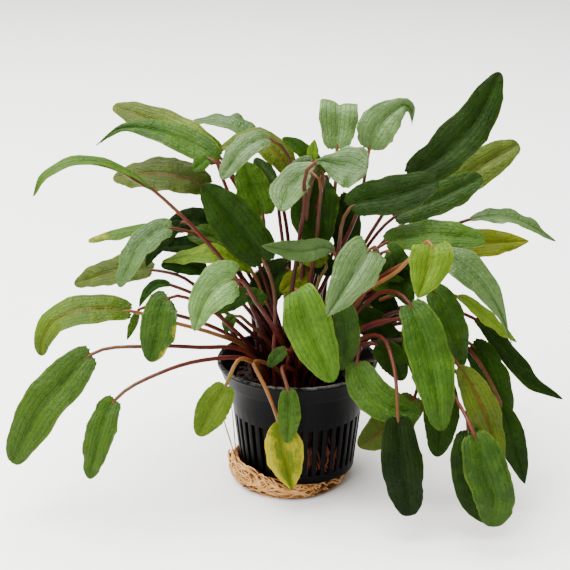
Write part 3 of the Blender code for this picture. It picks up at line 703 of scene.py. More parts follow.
@dataclass
class LeafForm:
    """A whole leaf lying flat: the petiole from -1 to 0 along Y, and the blade from 0 to 1, a unit half wide."""

    outline: Outline
    holed: bool = False
    rows: int = 32
    columns: int = 12
    gathered: float = 0.78
    thickness: float = 0.062
    stalk_rings: int = 18
    rib_rings: int = 16
    stalk_radius: float = 0.00056
    foot_radius: float = 0.00092
    relief: tuple[float, ...] = (-0.080, -0.004, 0.040, 0.052, 0.040, 0.012, -0.030)

    def model(self) -> bpy.types.Object:
        """Models the flat leaf.

        Returns:
            The leaf, with slots for its upper face, its under face and its petiole.
        """
        name = f"form_{self.outline.name.lower()}{'_holed' if self.holed else ''}"
        leaf = join(name, [self.blade(), self.stalk()])
        leaf.hide_render = True
        return leaf

    def blade(self) -> bpy.types.Object:
        """Models the blade from a flat grid, row by row and column by column."""
        deselect()
        bpy.ops.mesh.primitive_grid_add(x_subdivisions=self.columns, y_subdivisions=self.rows, size=2.0)
        blade = named("blade")
        for material in ("upper", "under", "stalk"):
            blade.data.materials.append(bpy.data.materials.get(material) or bpy.data.materials.new(material))
        bpy.ops.object.mode_set(mode="EDIT")
        bpy.ops.mesh.select_all(action="SELECT")
        bpy.ops.transform.resize(value=(1.0, 0.5, 1.0), center_override=(0.0, 0.0, 0.0))
        bpy.ops.transform.translate(value=(0.0, 0.5, 0.0))
        self.gather_rows(blade)
        bpy.ops.object.mode_set(mode="OBJECT")
        flat = read_points(blade)
        write_attribute(blade, "along", flat[:, 1])
        write_attribute(blade, "across", flat[:, 0])
        write_attribute(blade, "stem", np.zeros(len(flat)))
        bpy.ops.object.mode_set(mode="EDIT")
        self.raise_columns(blade)
        self.shape_rows(blade)
        self.round_base(blade)
        if self.holed:
            self.eat_hole(blade)
        bpy.ops.object.mode_set(mode="OBJECT")
        wall = blade.modifiers.new("wall", "SOLIDIFY")
        wall.thickness = self.thickness
        wall.offset = -1.0
        wall.material_offset = 1
        wall.material_offset_rim = 0
        apply_modifiers(blade)
        points = read_points(blade)
        upper = len(points) // 2
        points[upper:] = points[:upper] - (0.0, 0.0, self.thickness)
        write_points(blade, points)
        bpy.ops.object.shade_smooth_by_angle(angle=math.radians(50))
        return blade

    def raise_columns(self, blade: bpy.types.Object) -> None:
        """Sinks the midrib and puffs the two halves, column by column.

        Args:
            blade: The flat grid in edit mode.
        """
        for number, rise in enumerate(self.relief):
            share = number / (len(self.relief) - 1)
            pick(blade, lambda co: abs(abs(co.x) - share) < 0.01)
            bpy.ops.transform.translate(value=(0.0, 0.0, rise))

    @property
    def places(self) -> list[float]:
        """How far along each row is: the rows stand closer at the foot and at the tip."""
        shares = [row / self.rows for row in range(self.rows + 1)]
        return [share - self.gathered * math.sin(2 * math.pi * share) / (2 * math.pi) for share in shares]

    def gather_rows(self, blade: bpy.types.Object) -> None:
        """Moves the rows closer together at the foot and at the tip.

        Args:
            blade: The grid in edit mode.
        """
        for row in (*range(self.rows // 2), *range(self.rows, self.rows // 2, -1)):
            share = row / self.rows
            pick(blade, lambda co: abs(co.y - share) < ROW_REACH)
            bpy.ops.transform.translate(value=(0.0, self.places[row] - share, 0.0))

    def width_at(self, along: float) -> float:
        """Returns the half width of a row: the outline's, or the petiole's at the foot."""
        return max(self.outline.width(max(along, 0.004)), 0.10 * (1 - along) + 0.012)

    def shape_rows(self, blade: bpy.types.Object) -> None:
        """Draws each row in to the outline, flatter towards the foot and the tip.

        Args:
            blade: The grid in edit mode.
        """
        for along in self.places:
            flat = min(1.0, 0.35 + 3.0 * along, 0.15 + 3.5 * (1 - along))
            pick(blade, lambda co: abs(co.y - along) < ROW_REACH)
            bpy.ops.transform.resize(value=(self.width_at(along), 1.0, flat), center_override=(0.0, along, 0.0))

    def round_base(self, blade: bpy.types.Object) -> None:
        """Pulls the shoulders back beside the petiole, so that the base is rounded to heart-shaped.

        Args:
            blade: The grid in edit mode.
        """
        depth = {Outline.HEART: 0.13, Outline.OVAL: 0.07, Outline.LONG: 0.06, Outline.TAILED: 0.06}.get(self.outline, 0.03)
        for along in self.places:
            if along > 0.25:
                break
            share = math.exp(-((along / 0.13) ** 2))
            for near, far, reach in ((0.20, 0.40, 0.22), (0.40, 0.60, 0.52), (0.60, 0.80, 0.82), (0.80, 1.10, 1.0)):
                if pick(blade, lambda co: abs(co.y - along) < ROW_REACH and near <= abs(co.x) < far):
                    bpy.ops.transform.translate(value=(0.0, -depth * share * reach, 0.0))

    def eat_hole(self, blade: bpy.types.Object) -> None:
        """Opens the small ragged hole that a snail has eaten beside the midrib.

        Args:
            blade: The grid in edit mode.
        """
        pick(blade, lambda co: abs(co.x - 0.55) < 0.10 and abs(co.y - 0.46) < 0.030, faces=True)
        bpy.ops.mesh.inset(thickness=0.03)
        bpy.ops.mesh.delete(type="FACE")

    def stalk(self) -> bpy.types.Object:
        """Models the petiole and the rib that it becomes under the blade, by extruding a ring."""
        deselect()
        bpy.ops.mesh.primitive_circle_add(vertices=8, radius=1.0, fill_type="NGON")
        stalk = named("stalk")
        bpy.ops.object.mode_set(mode="EDIT")
        bpy.ops.mesh.select_all(action="SELECT")
        bpy.ops.transform.rotate(value=math.radians(90), orient_axis="X", center_override=(0.0, 0.0, 0.0))
        bpy.ops.transform.resize(value=(self.foot_radius,) * 3, center_override=(0.0, 0.0, 0.0))
        bpy.ops.transform.translate(value=(0.0, -1.0, 0.0))
        before = self.foot_radius
        for place, radius in self.stations():
            step = place - self.end_of(stalk)
            bpy.ops.mesh.extrude_region_move(TRANSFORM_OT_translate={"value": (0.0, step, 0.0)})
            share = radius / before
            bpy.ops.transform.resize(value=(share, 1.0, share), center_override=(0.0, place, 0.0))
            before = radius
        bpy.ops.mesh.select_all(action="SELECT")
        bpy.ops.mesh.normals_make_consistent(inside=False)
        bpy.ops.object.mode_set(mode="OBJECT")
        for _ in range(3):
            stalk.data.materials.append(None)
        stalk.data.materials[0] = bpy.data.materials["upper"]
        stalk.data.materials[1] = bpy.data.materials["under"]
        stalk.data.materials[2] = bpy.data.materials["stalk"]
        stalk.data.polygons.foreach_set("material_index", [2] * len(stalk.data.polygons))
        bpy.ops.object.shade_smooth_by_angle(angle=math.radians(70))
        flat = read_points(stalk)
        write_attribute(stalk, "along", flat[:, 1])
        write_attribute(stalk, "across", np.zeros(len(flat)))
        write_attribute(stalk, "stem", np.ones(len(flat)))
        return stalk

    def stations(self) -> Iterable[tuple[float, float]]:
        """Yields the place and the radius of each ring after the foot."""
        for ring in range(1, self.stalk_rings + 1):
            share = ring / self.stalk_rings
            yield share - 1.0, self.foot_radius + (self.stalk_radius - self.foot_radius) * share**0.7
        for ring in range(1, self.rib_rings + 1):
            share = ring / self.rib_rings
            yield 0.97 * share, self.stalk_radius * (1.0 - 0.86 * share**0.8)

    @staticmethod
    def end_of(stalk: bpy.types.Object) -> float:
        """Returns how far along the extruded end is."""
        mesh = bmesh.from_edit_mesh(stalk.data)
        return max(vertex.co.y for vertex in mesh.verts)


@dataclass
class LeafLine:
    """The line of a leaf in space: its middle, its upper side and how wide its blade is."""

    stalk: np.ndarray
    blade: np.ndarray
    stalk_up: np.ndarray
    blade_up: np.ndarray
    half_width: float

    @classmethod
    def of_node(cls, node: str) -> "LeafLine":
        """Reads the line of a leaf from its solid, ring by ring from the foot to the tip.

        Args:
            node: The solid's name.

        Returns:
            The line.
        """
        mesh = bmesh.new()
        mesh.from_mesh(frame["nodes"][node].data)
        bmesh.ops.remove_doubles(mesh, verts=mesh.verts, dist=1e-6)
        crown = Vector((-0.0005, -0.0030, 0.0363))
        ring = sorted(mesh.verts, key=lambda vertex: (vertex.co - crown).length + 20 * abs(vertex.co.z - crown.z))[:4]
        seen, rings = set(ring), []
        while ring:
            rings.append(np.array([tuple(vertex.co) for vertex in ring]))
            ring = list({edge.other_vert(vertex) for vertex in ring for edge in vertex.link_edges} - seen)
            seen.update(ring)
        mesh.free()
        return cls.of_rings(rings[:5], rings[5:-1], rings[-1][0])

    @classmethod
    def of_rings(cls, stalk: list[np.ndarray], blade: list[np.ndarray], tip: np.ndarray) -> "LeafLine":
        """Turns the rings of a solid into a line.

        Args:
            stalk: The petiole's rings.
            blade: The blade's rings.
            tip: The tip's place.

        Returns:
            The line.
        """
        middles, ups, halves = [], [], []
        for ring in blade:
            gaps = [(np.linalg.norm(ring[a] - ring[b]), a, b) for a in range(4) for b in range(a)]
            width, one, two = max(gaps)
            upper, lower = [ring[corner] for corner in range(4) if corner not in (one, two)]
            edge = 0.5 * (ring[one] + ring[two])
            if np.linalg.norm(upper - edge) > np.linalg.norm(lower - edge):
                upper, lower = lower, upper
            middles.append(0.5 * (upper + lower))
            ups.append((upper - lower) / np.linalg.norm(upper - lower))
            halves.append(0.5 * width)
        foot = stalk[0].mean(0)
        below = foot - np.array((0.0, 0.0, 0.0030))
        stem = np.array([below, *(ring.mean(0) for ring in stalk)])
        line = np.array([stem[-1], *middles, tip])
        return cls(stem, line, np.array([ups[0]] * len(stem)), np.array([ups[0], *ups, ups[-1]]), max(halves))

    def frames(self, along: np.ndarray, stem: np.ndarray) -> tuple[np.ndarray, np.ndarray, np.ndarray]:
        """Finds the middle, the sideways and the upward direction at places along the leaf.

        Args:
            along: Places from -1, the foot, over 0, the junction, to 1, the tip.
            stem: Whether each place is on the petiole, where a unit is the petiole's length, not the blade's.

        Returns:
            The middles, the directions across and the directions out of the upper face.
        """
        whole = np.concatenate([self.stalk, self.blade[1:]])
        ups = np.concatenate([self.stalk_up, self.blade_up[1:]])
        chord = np.concatenate([[0.0], np.cumsum(np.linalg.norm(np.diff(whole, axis=0), axis=1))])
        joint, end = chord[len(self.stalk) - 1], chord[-1]
        wanted = np.where(stem & (along < 0), (1 + along) * joint, joint + along * (end - joint))
        middle = self.smooth(chord, whole, wanted)
        step = 0.0004
        ahead = self.smooth(chord, whole, wanted + step) - self.smooth(chord, whole, wanted - step)
        ahead /= np.linalg.norm(ahead, axis=1)[:, None]
        up = np.stack([np.interp(wanted, chord, ups[:, axis]) for axis in range(3)], axis=1)
        up -= ahead * np.sum(up * ahead, axis=1)[:, None]
        up /= np.linalg.norm(up, axis=1)[:, None]
        return middle, np.cross(ahead, up), up

    @staticmethod
    def smooth(knots: np.ndarray, points: np.ndarray, wanted: np.ndarray) -> np.ndarray:
        """Reads a smooth curve through points.

        Args:
            knots: The distance along at each point.
            points: The points.
            wanted: The distances to read at, which may run past the ends.

        Returns:
            A point for each distance.
        """
        slopes = np.gradient(points, knots, axis=0)
        low = np.clip(np.searchsorted(knots, wanted) - 1, 0, len(knots) - 2)
        span = knots[low + 1] - knots[low]
        t = ((wanted - knots[low]) / span)[:, None]
        inside = np.clip(t, 0.0, 1.0)
        span = span[:, None]
        found = (
            (2 * inside**3 - 3 * inside**2 + 1) * points[low]
            + (inside**3 - 2 * inside**2 + inside) * span * slopes[low]
            + (3 * inside**2 - 2 * inside**3) * points[low + 1]
            + (inside**3 - inside**2) * span * slopes[low + 1]
        )
        beyond = np.where(t < 0, t, np.where(t > 1, t - 1, 0.0))
        return found + beyond * span * np.where(t < 0, slopes[low], slopes[low + 1])


def ripple(chance: random.Random, along: np.ndarray, low: float, high: float) -> np.ndarray:
    """Adds up three waves of chance along a leaf.

    Args:
        chance: The seeded source of chance.
        along: Places along the leaf.
        low: The fewest turns in the blade's length.
        high: The most turns.

    Returns:
        A height for each place, mostly between -1 and 1.
    """
    total = np.zeros(len(along))
    for _ in range(3):
        turns, phase, height = chance.uniform(low, high), chance.uniform(0, 2 * math.pi), chance.uniform(0.4, 0.8)
        total += height * np.sin(2 * math.pi * turns * along + phase)
    return total


@dataclass(frozen=True)
class LeafLook:
    """What one leaf has of its own: how far it has aged and where, and how red its midrib is; with it goes a factor on
    its colour that is partly its own tone and partly painted light and painted shading.
    """

    age: float = 0.0
    tip_age: float = 0.0
    left_age: float = 0.0
    right_age: float = 0.0
    flush: float = 0.0
    wave: float = 1.0
    # Colour factor: partly the leaf's own tone, partly painted light and painted shading for how much light the leaf
    # catches.
    painted_light_and_tone: float = 1.0
    holed: bool = False


# Each leaf's colour factor is partly its own tone and partly painted light: above 1 it is a painted sheen, below 1
# painted shading.
LOOKS = {
    "leaf_centre_dark_broad": LeafLook(painted_light_and_tone=1.25),
    "leaf_centre_front_bright": LeafLook(painted_light_and_tone=1.15),
    "leaf_centre_left_large": LeafLook(painted_light_and_tone=0.78),
    "leaf_centre_left_pale": LeafLook(painted_light_and_tone=1.25),
    "leaf_centre_right_hanging": LeafLook(painted_light_and_tone=0.72),
    "leaf_hanging_beside_pot": LeafLook(painted_light_and_tone=0.38, wave=1.2),
    "leaf_left_curled_yellow": LeafLook(age=0.12, tip_age=0.1),
    "leaf_left_hanging_large": LeafLook(painted_light_and_tone=0.68),
    "leaf_left_hanging_low": LeafLook(painted_light_and_tone=0.75, wave=1.6),
    "leaf_left_level": LeafLook(tip_age=0.6, painted_light_and_tone=0.9),
    "leaf_left_lime_broad": LeafLook(flush=0.8, age=0.05, painted_light_and_tone=0.68),
    "leaf_left_olive": LeafLook(age=0.05, flush=0.6, painted_light_and_tone=0.85, wave=1.4),
    "leaf_left_short": LeafLook(painted_light_and_tone=0.85, wave=1.3),
    "leaf_left_with_hole": LeafLook(left_age=0.35, tip_age=0.2, holed=True, painted_light_and_tone=0.85, wave=1.3),
    "leaf_over_pot_left": LeafLook(age=0.05, right_age=0.2, painted_light_and_tone=0.72),
    "leaf_over_pot_small": LeafLook(left_age=0.2, painted_light_and_tone=0.78),
    "leaf_over_pot_yellow": LeafLook(age=0.22, right_age=0.75, left_age=0.45),
    "leaf_behind_pot_right": LeafLook(flush=0.7, painted_light_and_tone=0.8),
    "leaf_right_front_broad": LeafLook(painted_light_and_tone=1.15, wave=1.3),
    "leaf_right_grey_tailed": LeafLook(wave=1.5, painted_light_and_tone=0.75),
    "leaf_right_largest": LeafLook(wave=1.3, left_age=0.08, painted_light_and_tone=0.85),
    "leaf_right_red_midrib": LeafLook(flush=1.0, age=0.05, painted_light_and_tone=0.75),
    "leaf_right_small_pale": LeafLook(painted_light_and_tone=1.1),
    "leaf_right_thin_wavy": LeafLook(wave=2.0, painted_light_and_tone=0.85),
    "leaf_right_yellow": LeafLook(age=0.08, tip_age=0.12, painted_light_and_tone=0.8),
    "leaf_top_front_pale": LeafLook(painted_light_and_tone=0.85),
    "leaf_centre_grey": LeafLook(painted_light_and_tone=0.8),
    "leaf_centre_level": LeafLook(painted_light_and_tone=0.8),
    "leaf_top_grey": LeafLook(painted_light_and_tone=0.85, wave=1.5),
    "leaf_top_left_back": LeafLook(age=0.08, flush=0.4),
    "leaf_top_olive": LeafLook(flush=0.5, painted_light_and_tone=0.9),
    "leaf_top_pointing_down": LeafLook(painted_light_and_tone=0.7),
    "leaf_top_right_front": LeafLook(painted_light_and_tone=0.7),
    "leaf_top_right_tall": LeafLook(painted_light_and_tone=0.8, wave=1.4),
    "leaf_top_wavy": LeafLook(wave=1.8, painted_light_and_tone=0.9),
}


@dataclass(frozen=True)
class SmallLeaf:
    """A small leaf between the large ones, by the foot, the middle and the tip of its blade in millimetres."""

    slot: str
    half_width: float
    foot: Point
    middle: Point
    tip: Point
    outline: Outline = Outline.OVAL
    # Colour factor: partly the leaf's own tone, partly painted shading inside the crown, and painted light where it is
    # above 1.
    painted_light_and_tone: float = 0.8
    facing: Point = (0.0, -0.9, 0.4)

    def line(self) -> LeafLine:
        """Returns the leaf's line, with a petiole that bows up from the crown."""
        foot, middle, tip = (0.001 * np.array(point) for point in (self.foot, self.middle, self.tip))
        crown = np.array((-0.0005, -0.0030, 0.0335))
        knee = 0.55 * crown + 0.45 * foot + (0.0, 0.0, 0.22 * np.linalg.norm(foot - crown))
        stem = np.array([(1 - t) ** 2 * crown + 2 * t * (1 - t) * knee + t * t * foot for t in np.linspace(0, 1, 6)])
        bend = 2 * middle - 0.5 * (foot + tip)
        blade = np.array([(1 - t) ** 2 * foot + 2 * t * (1 - t) * bend + t * t * tip for t in np.linspace(0, 1, 7)])
        up = np.array(self.facing) / np.linalg.norm(self.facing)
        return LeafLine(stem, blade, np.array([up] * 6), np.array([up] * 7), 0.001 * self.half_width)


SMALL_LEAVES = (
    SmallLeaf("leaf_dark", 3.1, (-37.5, 4.0, 88.1), (-45.2, 4.0, 81.5), (-50.0, 4.0, 72.6), Outline.LANCE, 0.7),
    SmallLeaf("leaf_grey", 3.2, (-7.4, 3.0, 99.8), (-10.9, 3.0, 105.2), (-13.8, 3.0, 109.8)),
    SmallLeaf("leaf_green", 2.6, (-28.7, 0.0, 110.6), (-31.0, 0.0, 108.9), (-33.6, 0.0, 106.6), painted_light_and_tone=1.1),
    SmallLeaf("leaf_dark", 4.6, (-26.0, 6.0, 84.5), (-34.0, 6.0, 88.0), (-43.0, 6.0, 85.0)),
    SmallLeaf("leaf_green", 4.4, (-19.0, 0.0, 79.0), (-27.0, 0.0, 84.0), (-36.0, 0.0, 84.5), painted_light_and_tone=0.6),
    SmallLeaf("leaf_dark", 3.4, (-24.0, 3.0, 77.0), (-34.0, 3.0, 80.5), (-45.8, 3.0, 79.5)),
    SmallLeaf("leaf_dark", 3.4, (-30.6, 4.0, 71.5), (-37.8, 4.0, 73.6), (-45.1, 4.0, 73.0), painted_light_and_tone=1.3),
    SmallLeaf("leaf_dark", 3.6, (-16.0, -12.0, 68.8), (-22.1, -12.0, 66.5), (-28.0, -12.0, 62.3), painted_light_and_tone=1.2),
    SmallLeaf("leaf_green", 2.8, (-10.3, -10.0, 65.3), (-14.4, -10.0, 67.5), (-18.6, -10.0, 68.8)),
    SmallLeaf("leaf_green", 2.2, (-19.9, -14.0, 62.0), (-22.3, -14.0, 59.6), (-22.8, -14.0, 56.2), Outline.LANCE, 0.5),
    SmallLeaf("leaf_dark", 6.0, (-3.2, -1.0, 74.0), (-9.0, -1.0, 68.5), (-13.0, -2.0, 60.0)),
    SmallLeaf("leaf_green", 2.7, (7.9, -6.0, 107.0), (2.2, -6.0, 114.0), (-5.0, -6.0, 118.5), painted_light_and_tone=0.7),
    SmallLeaf("leaf_lime", 1.9, (4.3, -8.0, 111.0), (4.6, -8.0, 115.0), (5.2, -8.0, 118.5), Outline.LANCE, 1.0),
    SmallLeaf("leaf_grey", 2.6, (4.5, -9.0, 112.0), (0.6, -9.0, 110.2), (-3.5, -9.0, 106.0), painted_light_and_tone=0.6),
    SmallLeaf("leaf_dark", 5.2, (13.5, 6.0, 96.0), (16.0, 6.0, 86.0), (14.5, 5.0, 75.0), painted_light_and_tone=0.8),
    SmallLeaf("leaf_dark", 4.6, (0.4, -2.0, 80.5), (6.3, -3.0, 77.5), (11.2, -4.0, 72.5), painted_light_and_tone=1.1),
    SmallLeaf("leaf_yellow", 3.4, (3.4, -5.0, 74.0), (-1.2, -5.0, 71.0), (-5.5, -5.0, 66.6), painted_light_and_tone=0.9),
    SmallLeaf("leaf_lime", 3.2, (9.0, -7.0, 78.0), (4.5, -7.0, 79.5), (-0.5, -7.0, 79.0), painted_light_and_tone=0.8),
    SmallLeaf("leaf_green", 2.2, (-3.6, -24.0, 54.2), (-6.7, -24.5, 52.4), (-9.2, -25.0, 48.8), painted_light_and_tone=0.7),
    SmallLeaf("leaf_green", 4.2, (12.8, -29.0, 72.5), (15.2, -30.0, 61.3), (13.1, -30.5, 50.0), painted_light_and_tone=0.8),
    SmallLeaf("leaf_green", 3.8, (21.5, -14.0, 74.5), (29.3, -14.0, 73.0), (36.5, -15.0, 68.5), painted_light_and_tone=0.8),
    SmallLeaf("leaf_dark", 4.4, (24.5, -25.0, 56.5), (29.8, -26.0, 51.6), (33.2, -26.5, 44.8), painted_light_and_tone=1.2),
    SmallLeaf("leaf_dark", 3.5, (34.0, -24.0, 64.5), (36.6, -24.5, 54.2), (37.4, -25.0, 44.0), Outline.LANCE, 1.2),
    SmallLeaf("leaf_dark", 4.8, (15.8, -13.0, 64.0), (25.8, -14.0, 57.7), (34.5, -15.0, 48.5), painted_light_and_tone=1.0),
    SmallLeaf("leaf_dark", 4.0, (22.0, -5.0, 69.0), (28.0, -6.0, 64.0), (32.0, -7.0, 57.0), painted_light_and_tone=0.9),
    SmallLeaf("leaf_olive", 1.5, (-51.6, -8.0, 62.0), (-53.9, -8.0, 56.4), (-55.8, -8.0, 51.4), Outline.LANCE, 0.8),
    SmallLeaf("leaf_green", 1.7, (-40.8, -6.0, 69.6), (-47.0, -6.0, 69.4), (-51.7, -6.0, 62.0), Outline.LANCE, 0.6),
)


@dataclass
class Foliage:
    """All the leaves: those that stand for solids, and the small ones between them."""

    edge_lift: float = 0.10
    wave_height: float = 0.055
    forms: dict[tuple[Outline, bool], bpy.types.Object] = field(default_factory=dict)

    def build(self) -> None:
        """Lays a leaf on the line of each leaf solid, and the small ones between them."""
        for part in frame["record"]["subparts"]:
            if part["node"].startswith("leaf_"):
                line = LeafLine.of_node(part["node"])
                self.dress(part["node"], part["material_slot"], line, NODE_OUTLINES.get(part["node"], Outline.OVAL))
        for number, small in enumerate(SMALL_LEAVES, 1):
            leaf = self.lay(f"visual_small_leaf_{number:02d}", small.line(), small.outline, LeafLook(painted_light_and_tone=small.painted_light_and_tone))
            self.paint(leaf, small.slot)
            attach(leaf, "root")
        LOG.info("%d small leaves laid between the others", len(SMALL_LEAVES))
        for form in self.forms.values():
            bpy.data.objects.remove(form)

    def dress(self, node: str, slot: str, line: LeafLine, outline: Outline) -> None:
        """Makes the leaf that stands for a solid.

        Args:
            node: The solid's name.
            slot: The record's slot of its finish.
            line: The leaf's line.
            outline: The blade's outline.
        """
        look = LOOKS.get(node, LeafLook())
        leaf = self.lay(f"visual_{node}", line, outline, look)
        self.paint(leaf, slot)
        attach(leaf, "root")
        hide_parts(node)
        LOG.info("%s laid on %s, %.0f mm wide", leaf.name, node, 2000 * line.half_width)

    def form(self, outline: Outline, holed: bool) -> bpy.types.Object:
        """Returns the flat leaf of an outline, which is modelled the first time."""
        key = (outline, holed)
        if key not in self.forms:
            self.forms[key] = LeafForm(outline, holed).model()
        return self.forms[key]

    def lay(self, name: str, line: LeafLine, outline: Outline, look: LeafLook) -> bpy.types.Object:
        """Copies a flat leaf and lays it along a line.

        Args:
            name: The new leaf's name.
            line: The line.
            outline: The blade's outline.
            look: What the leaf has of its own.

        Returns:
            The leaf.
        """
        form = self.form(outline, look.holed)
        leaf = form.copy()
        leaf.data = form.data.copy()
        leaf.name = name
        leaf.data.name = name
        leaf.hide_render = False
        bpy.context.scene.collection.objects.link(leaf)
        chance = random.Random(name)
        flat = read_points(leaf)
        along, across, stem = (read_attribute(leaf, key) for key in ("along", "across", "stem"))
        middle, side, up = line.frames(np.where(stem > 0.5, along, flat[:, 1]), stem > 0.5)
        width = line.half_width
        share = np.abs(across)
        ends = np.clip(5 * along, 0, 1) * np.clip(5 * (1 - along), 0, 1)
        waves, notches = np.zeros(len(flat)), np.zeros(len(flat))
        for right in (False, True):
            here = (across > 0) == right
            waves += np.where(here, ripple(chance, along, 1.6, 5.2), 0.0)
            notches += np.where(here, ripple(chance, along, 1.2, 4.0) + 0.5 * ripple(chance, along, 7.0, 19.0), 0.0)
        waves *= look.wave * self.wave_height * share**2.0 * ends
        lift = self.edge_lift * np.abs(flat[:, 0]) + waves
        sag = chance.uniform(-0.05, 0.05) * np.sin(math.pi * along) * (1 - share)
        frayed = np.clip(12 * (1 - along), 0, 1) * np.clip(8 * (along - 0.03), 0, 1)
        notch = 1 + 0.038 * look.wave * share**3 * frayed * (notches - 0.4)
        blade = middle + side * (flat[:, 0] * notch * width)[:, None] + up * ((flat[:, 2] + lift + sag) * width)[:, None]
        under = np.clip(along / 0.10, 0, 1) * (0.085 * np.clip(6 * (1 - along), 0.15, 1) * width + 0.0006)
        tube = middle + side * flat[:, 0][:, None] + up * (flat[:, 2] - under)[:, None]
        write_points(leaf, np.where((stem > 0.5)[:, None], tube, blade))
        self.mark(leaf, look, along, across, chance.random())
        return leaf

    def mark(self, leaf: bpy.types.Object, look: LeafLook, along: np.ndarray, across: np.ndarray, tint: float) -> None:
        """Writes how far each point of a leaf has aged, the leaf's own tint and flush, and its colour factor, which is
        partly tone and partly painted light and painted shading.

        Args:
            leaf: The leaf.
            look: What the leaf has of its own.
            along: The points' places along.
            across: The points' places across.
            tint: The leaf's tint, from 0 to 1.
        """
        edge = np.clip((np.abs(across) - 0.25) / 0.75, 0, 1)
        age = np.full(len(along), look.age)
        age = age + look.tip_age * np.clip((along - 0.55) / 0.45, 0, 1) ** 1.5
        age = age + np.where(across > 0, look.right_age, look.left_age) * edge * np.clip(3 * along, 0.3, 1)
        write_attribute(leaf, "aged", age)
        write_attribute(leaf, "tint", np.full(len(along), 0.25 + 0.5 * tint))
        write_attribute(leaf, "flush", np.full(len(along), look.flush))
        # The colour factor is partly tone and partly painted light and painted shading.
        write_attribute(leaf, "painted_light_and_tone", np.full(len(along), look.painted_light_and_tone))

    @staticmethod
    def paint(leaf: bpy.types.Object, slot: str) -> None:
        """Gives a leaf the finishes of its slot."""
        leaf.data.materials[0] = BLADES[slot].upper()
        leaf.data.materials[1] = BLADES[slot].lower()
        leaf.data.materials[2] = STALKS[slot].material()


NODE_OUTLINES = {
    **dict.fromkeys(
        (
            "leaf_top_left_back", "leaf_left_hanging_large", "leaf_right_level", "leaf_right_largest", "leaf_top_folded",
            "leaf_hanging_beside_pot", "leaf_top_right_olive", "leaf_top_right_middle", "leaf_top_right_front",
            "leaf_left_level",
        ),
        Outline.LONG,
    ),
    **dict.fromkeys(("leaf_top_left_curled", "leaf_top_wavy", "leaf_right_grey_tailed"), Outline.TAILED),
    **dict.fromkeys(
        (
            "leaf_left_arch", "leaf_over_pot_yellow", "leaf_left_curled_yellow", "leaf_right_edge_on",
            "leaf_right_long_dark", "leaf_right_low_outer", "leaf_right_red_midrib", "leaf_right_thin_wavy",
            "leaf_right_yellow", "leaf_centre_level",
        ),
        Outline.LANCE,
    ),
    **dict.fromkeys(("leaf_centre_left_pale", "leaf_centre_right_hanging", "leaf_right_small_pale"), Outline.HEART),
    "leaf_top_front_pale": Outline.WEDGE,
}


# The pot and what it holds


@dataclass
class NetPot:
    """The slotted pot: a turned wall with forty slots between ribs, a shoulder and a flared collar with a lip."""

    columns: int = 160
    foot: tuple[float, float] = (0.0193, 0.0045)
    slot_foot: float = 0.0075
    slot_top: float = 0.0245
    neck: tuple[float, float] = (0.0228, 0.0350)
    wall: float = 0.0012

    def radius(self, height: float) -> float:
        """Returns the radius of the body's outer wall at a height."""
        share = (height - self.foot[1]) / (self.neck[1] - self.foot[1])
        return self.foot[0] + (self.neck[0] - self.foot[0]) * share

    def build(self) -> None:
        """Models the pot and has it stand for its solid."""
        pot = self.model()
        pot.data.materials.append(PlasticFinish().material())
        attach(pot, "root")
        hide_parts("pot")
        LOG.info("pot built with %d faces", len(pot.data.polygons))

    def profile(self) -> list[tuple[float, float]]:
        """Returns the wall's radii and heights above the foot."""
        heights = (0.0056, self.slot_foot, 0.0130, 0.0190, self.slot_top, 0.0290)
        wall = [(self.radius(height), height) for height in heights]
        return wall + [self.neck, (0.0243, 0.0354), (0.0249, 0.0366), (0.0262, 0.0403), (0.0268, 0.0410), (0.0268, 0.0420)]

    def model(self) -> bpy.types.Object:
        """Models the pot by extruding a ring up its profile."""
        deselect()
        radius, height = self.foot
        bpy.ops.mesh.primitive_circle_add(
            vertices=self.columns, radius=radius, fill_type="TRIFAN", location=(0.0, 0.0, height)
        )
        pot = named("visual_pot")
        bpy.ops.object.transform_apply(location=True, rotation=False, scale=False)
        bpy.ops.object.mode_set(mode="EDIT")
        pick(pot, lambda co: math.hypot(co.x, co.y) > 0.5 * radius)
        bpy.context.tool_settings.mesh_select_mode = (False, True, False)
        mesh = bmesh.from_edit_mesh(pot.data)
        for edge in mesh.edges:
            edge.select_set(all(math.hypot(v.co.x, v.co.y) > 0.5 * radius for v in edge.verts))
        bmesh.update_edit_mesh(pot.data)
        for next_radius, next_height in self.profile():
            rise = (0.0, 0.0, next_height - height)
            bpy.ops.mesh.extrude_edges_move(TRANSFORM_OT_translate={"value": rise})
            share = next_radius / radius
            bpy.ops.transform.resize(value=(share, share, 1.0), center_override=(0.0, 0.0, next_height))
            radius, height = next_radius, next_height
        self.cut_slots(pot)
        bpy.ops.mesh.select_all(action="SELECT")
        bpy.ops.mesh.normals_make_consistent(inside=False)
        bpy.ops.object.mode_set(mode="OBJECT")
        thicken = pot.modifiers.new("wall", "SOLIDIFY")
        thicken.thickness = self.wall
        thicken.offset = -1.0
        thicken.use_even_offset = True
        edge = pot.modifiers.new("edges", "BEVEL")
        edge.width = 0.00018
        edge.segments = 2
        edge.limit_method = "ANGLE"
        edge.angle_limit = math.radians(50)
        apply_modifiers(pot)
        bpy.ops.object.shade_smooth_by_angle(angle=math.radians(40))
        return pot

    def cut_slots(self, pot: bpy.types.Object) -> None:
        """Opens two columns in every four between the slots' foot and top.

        Args:
            pot: The wall in edit mode.
        """

        def in_slot(middle: Vector) -> bool:
            turn = math.degrees(math.atan2(middle.y, middle.x)) % 360
            column = int(turn / (360 / self.columns))
            return self.slot_foot < middle.z < self.slot_top and column % 4 < 2

        pick(pot, in_slot, faces=True)
        bpy.ops.mesh.delete(type="FACE")


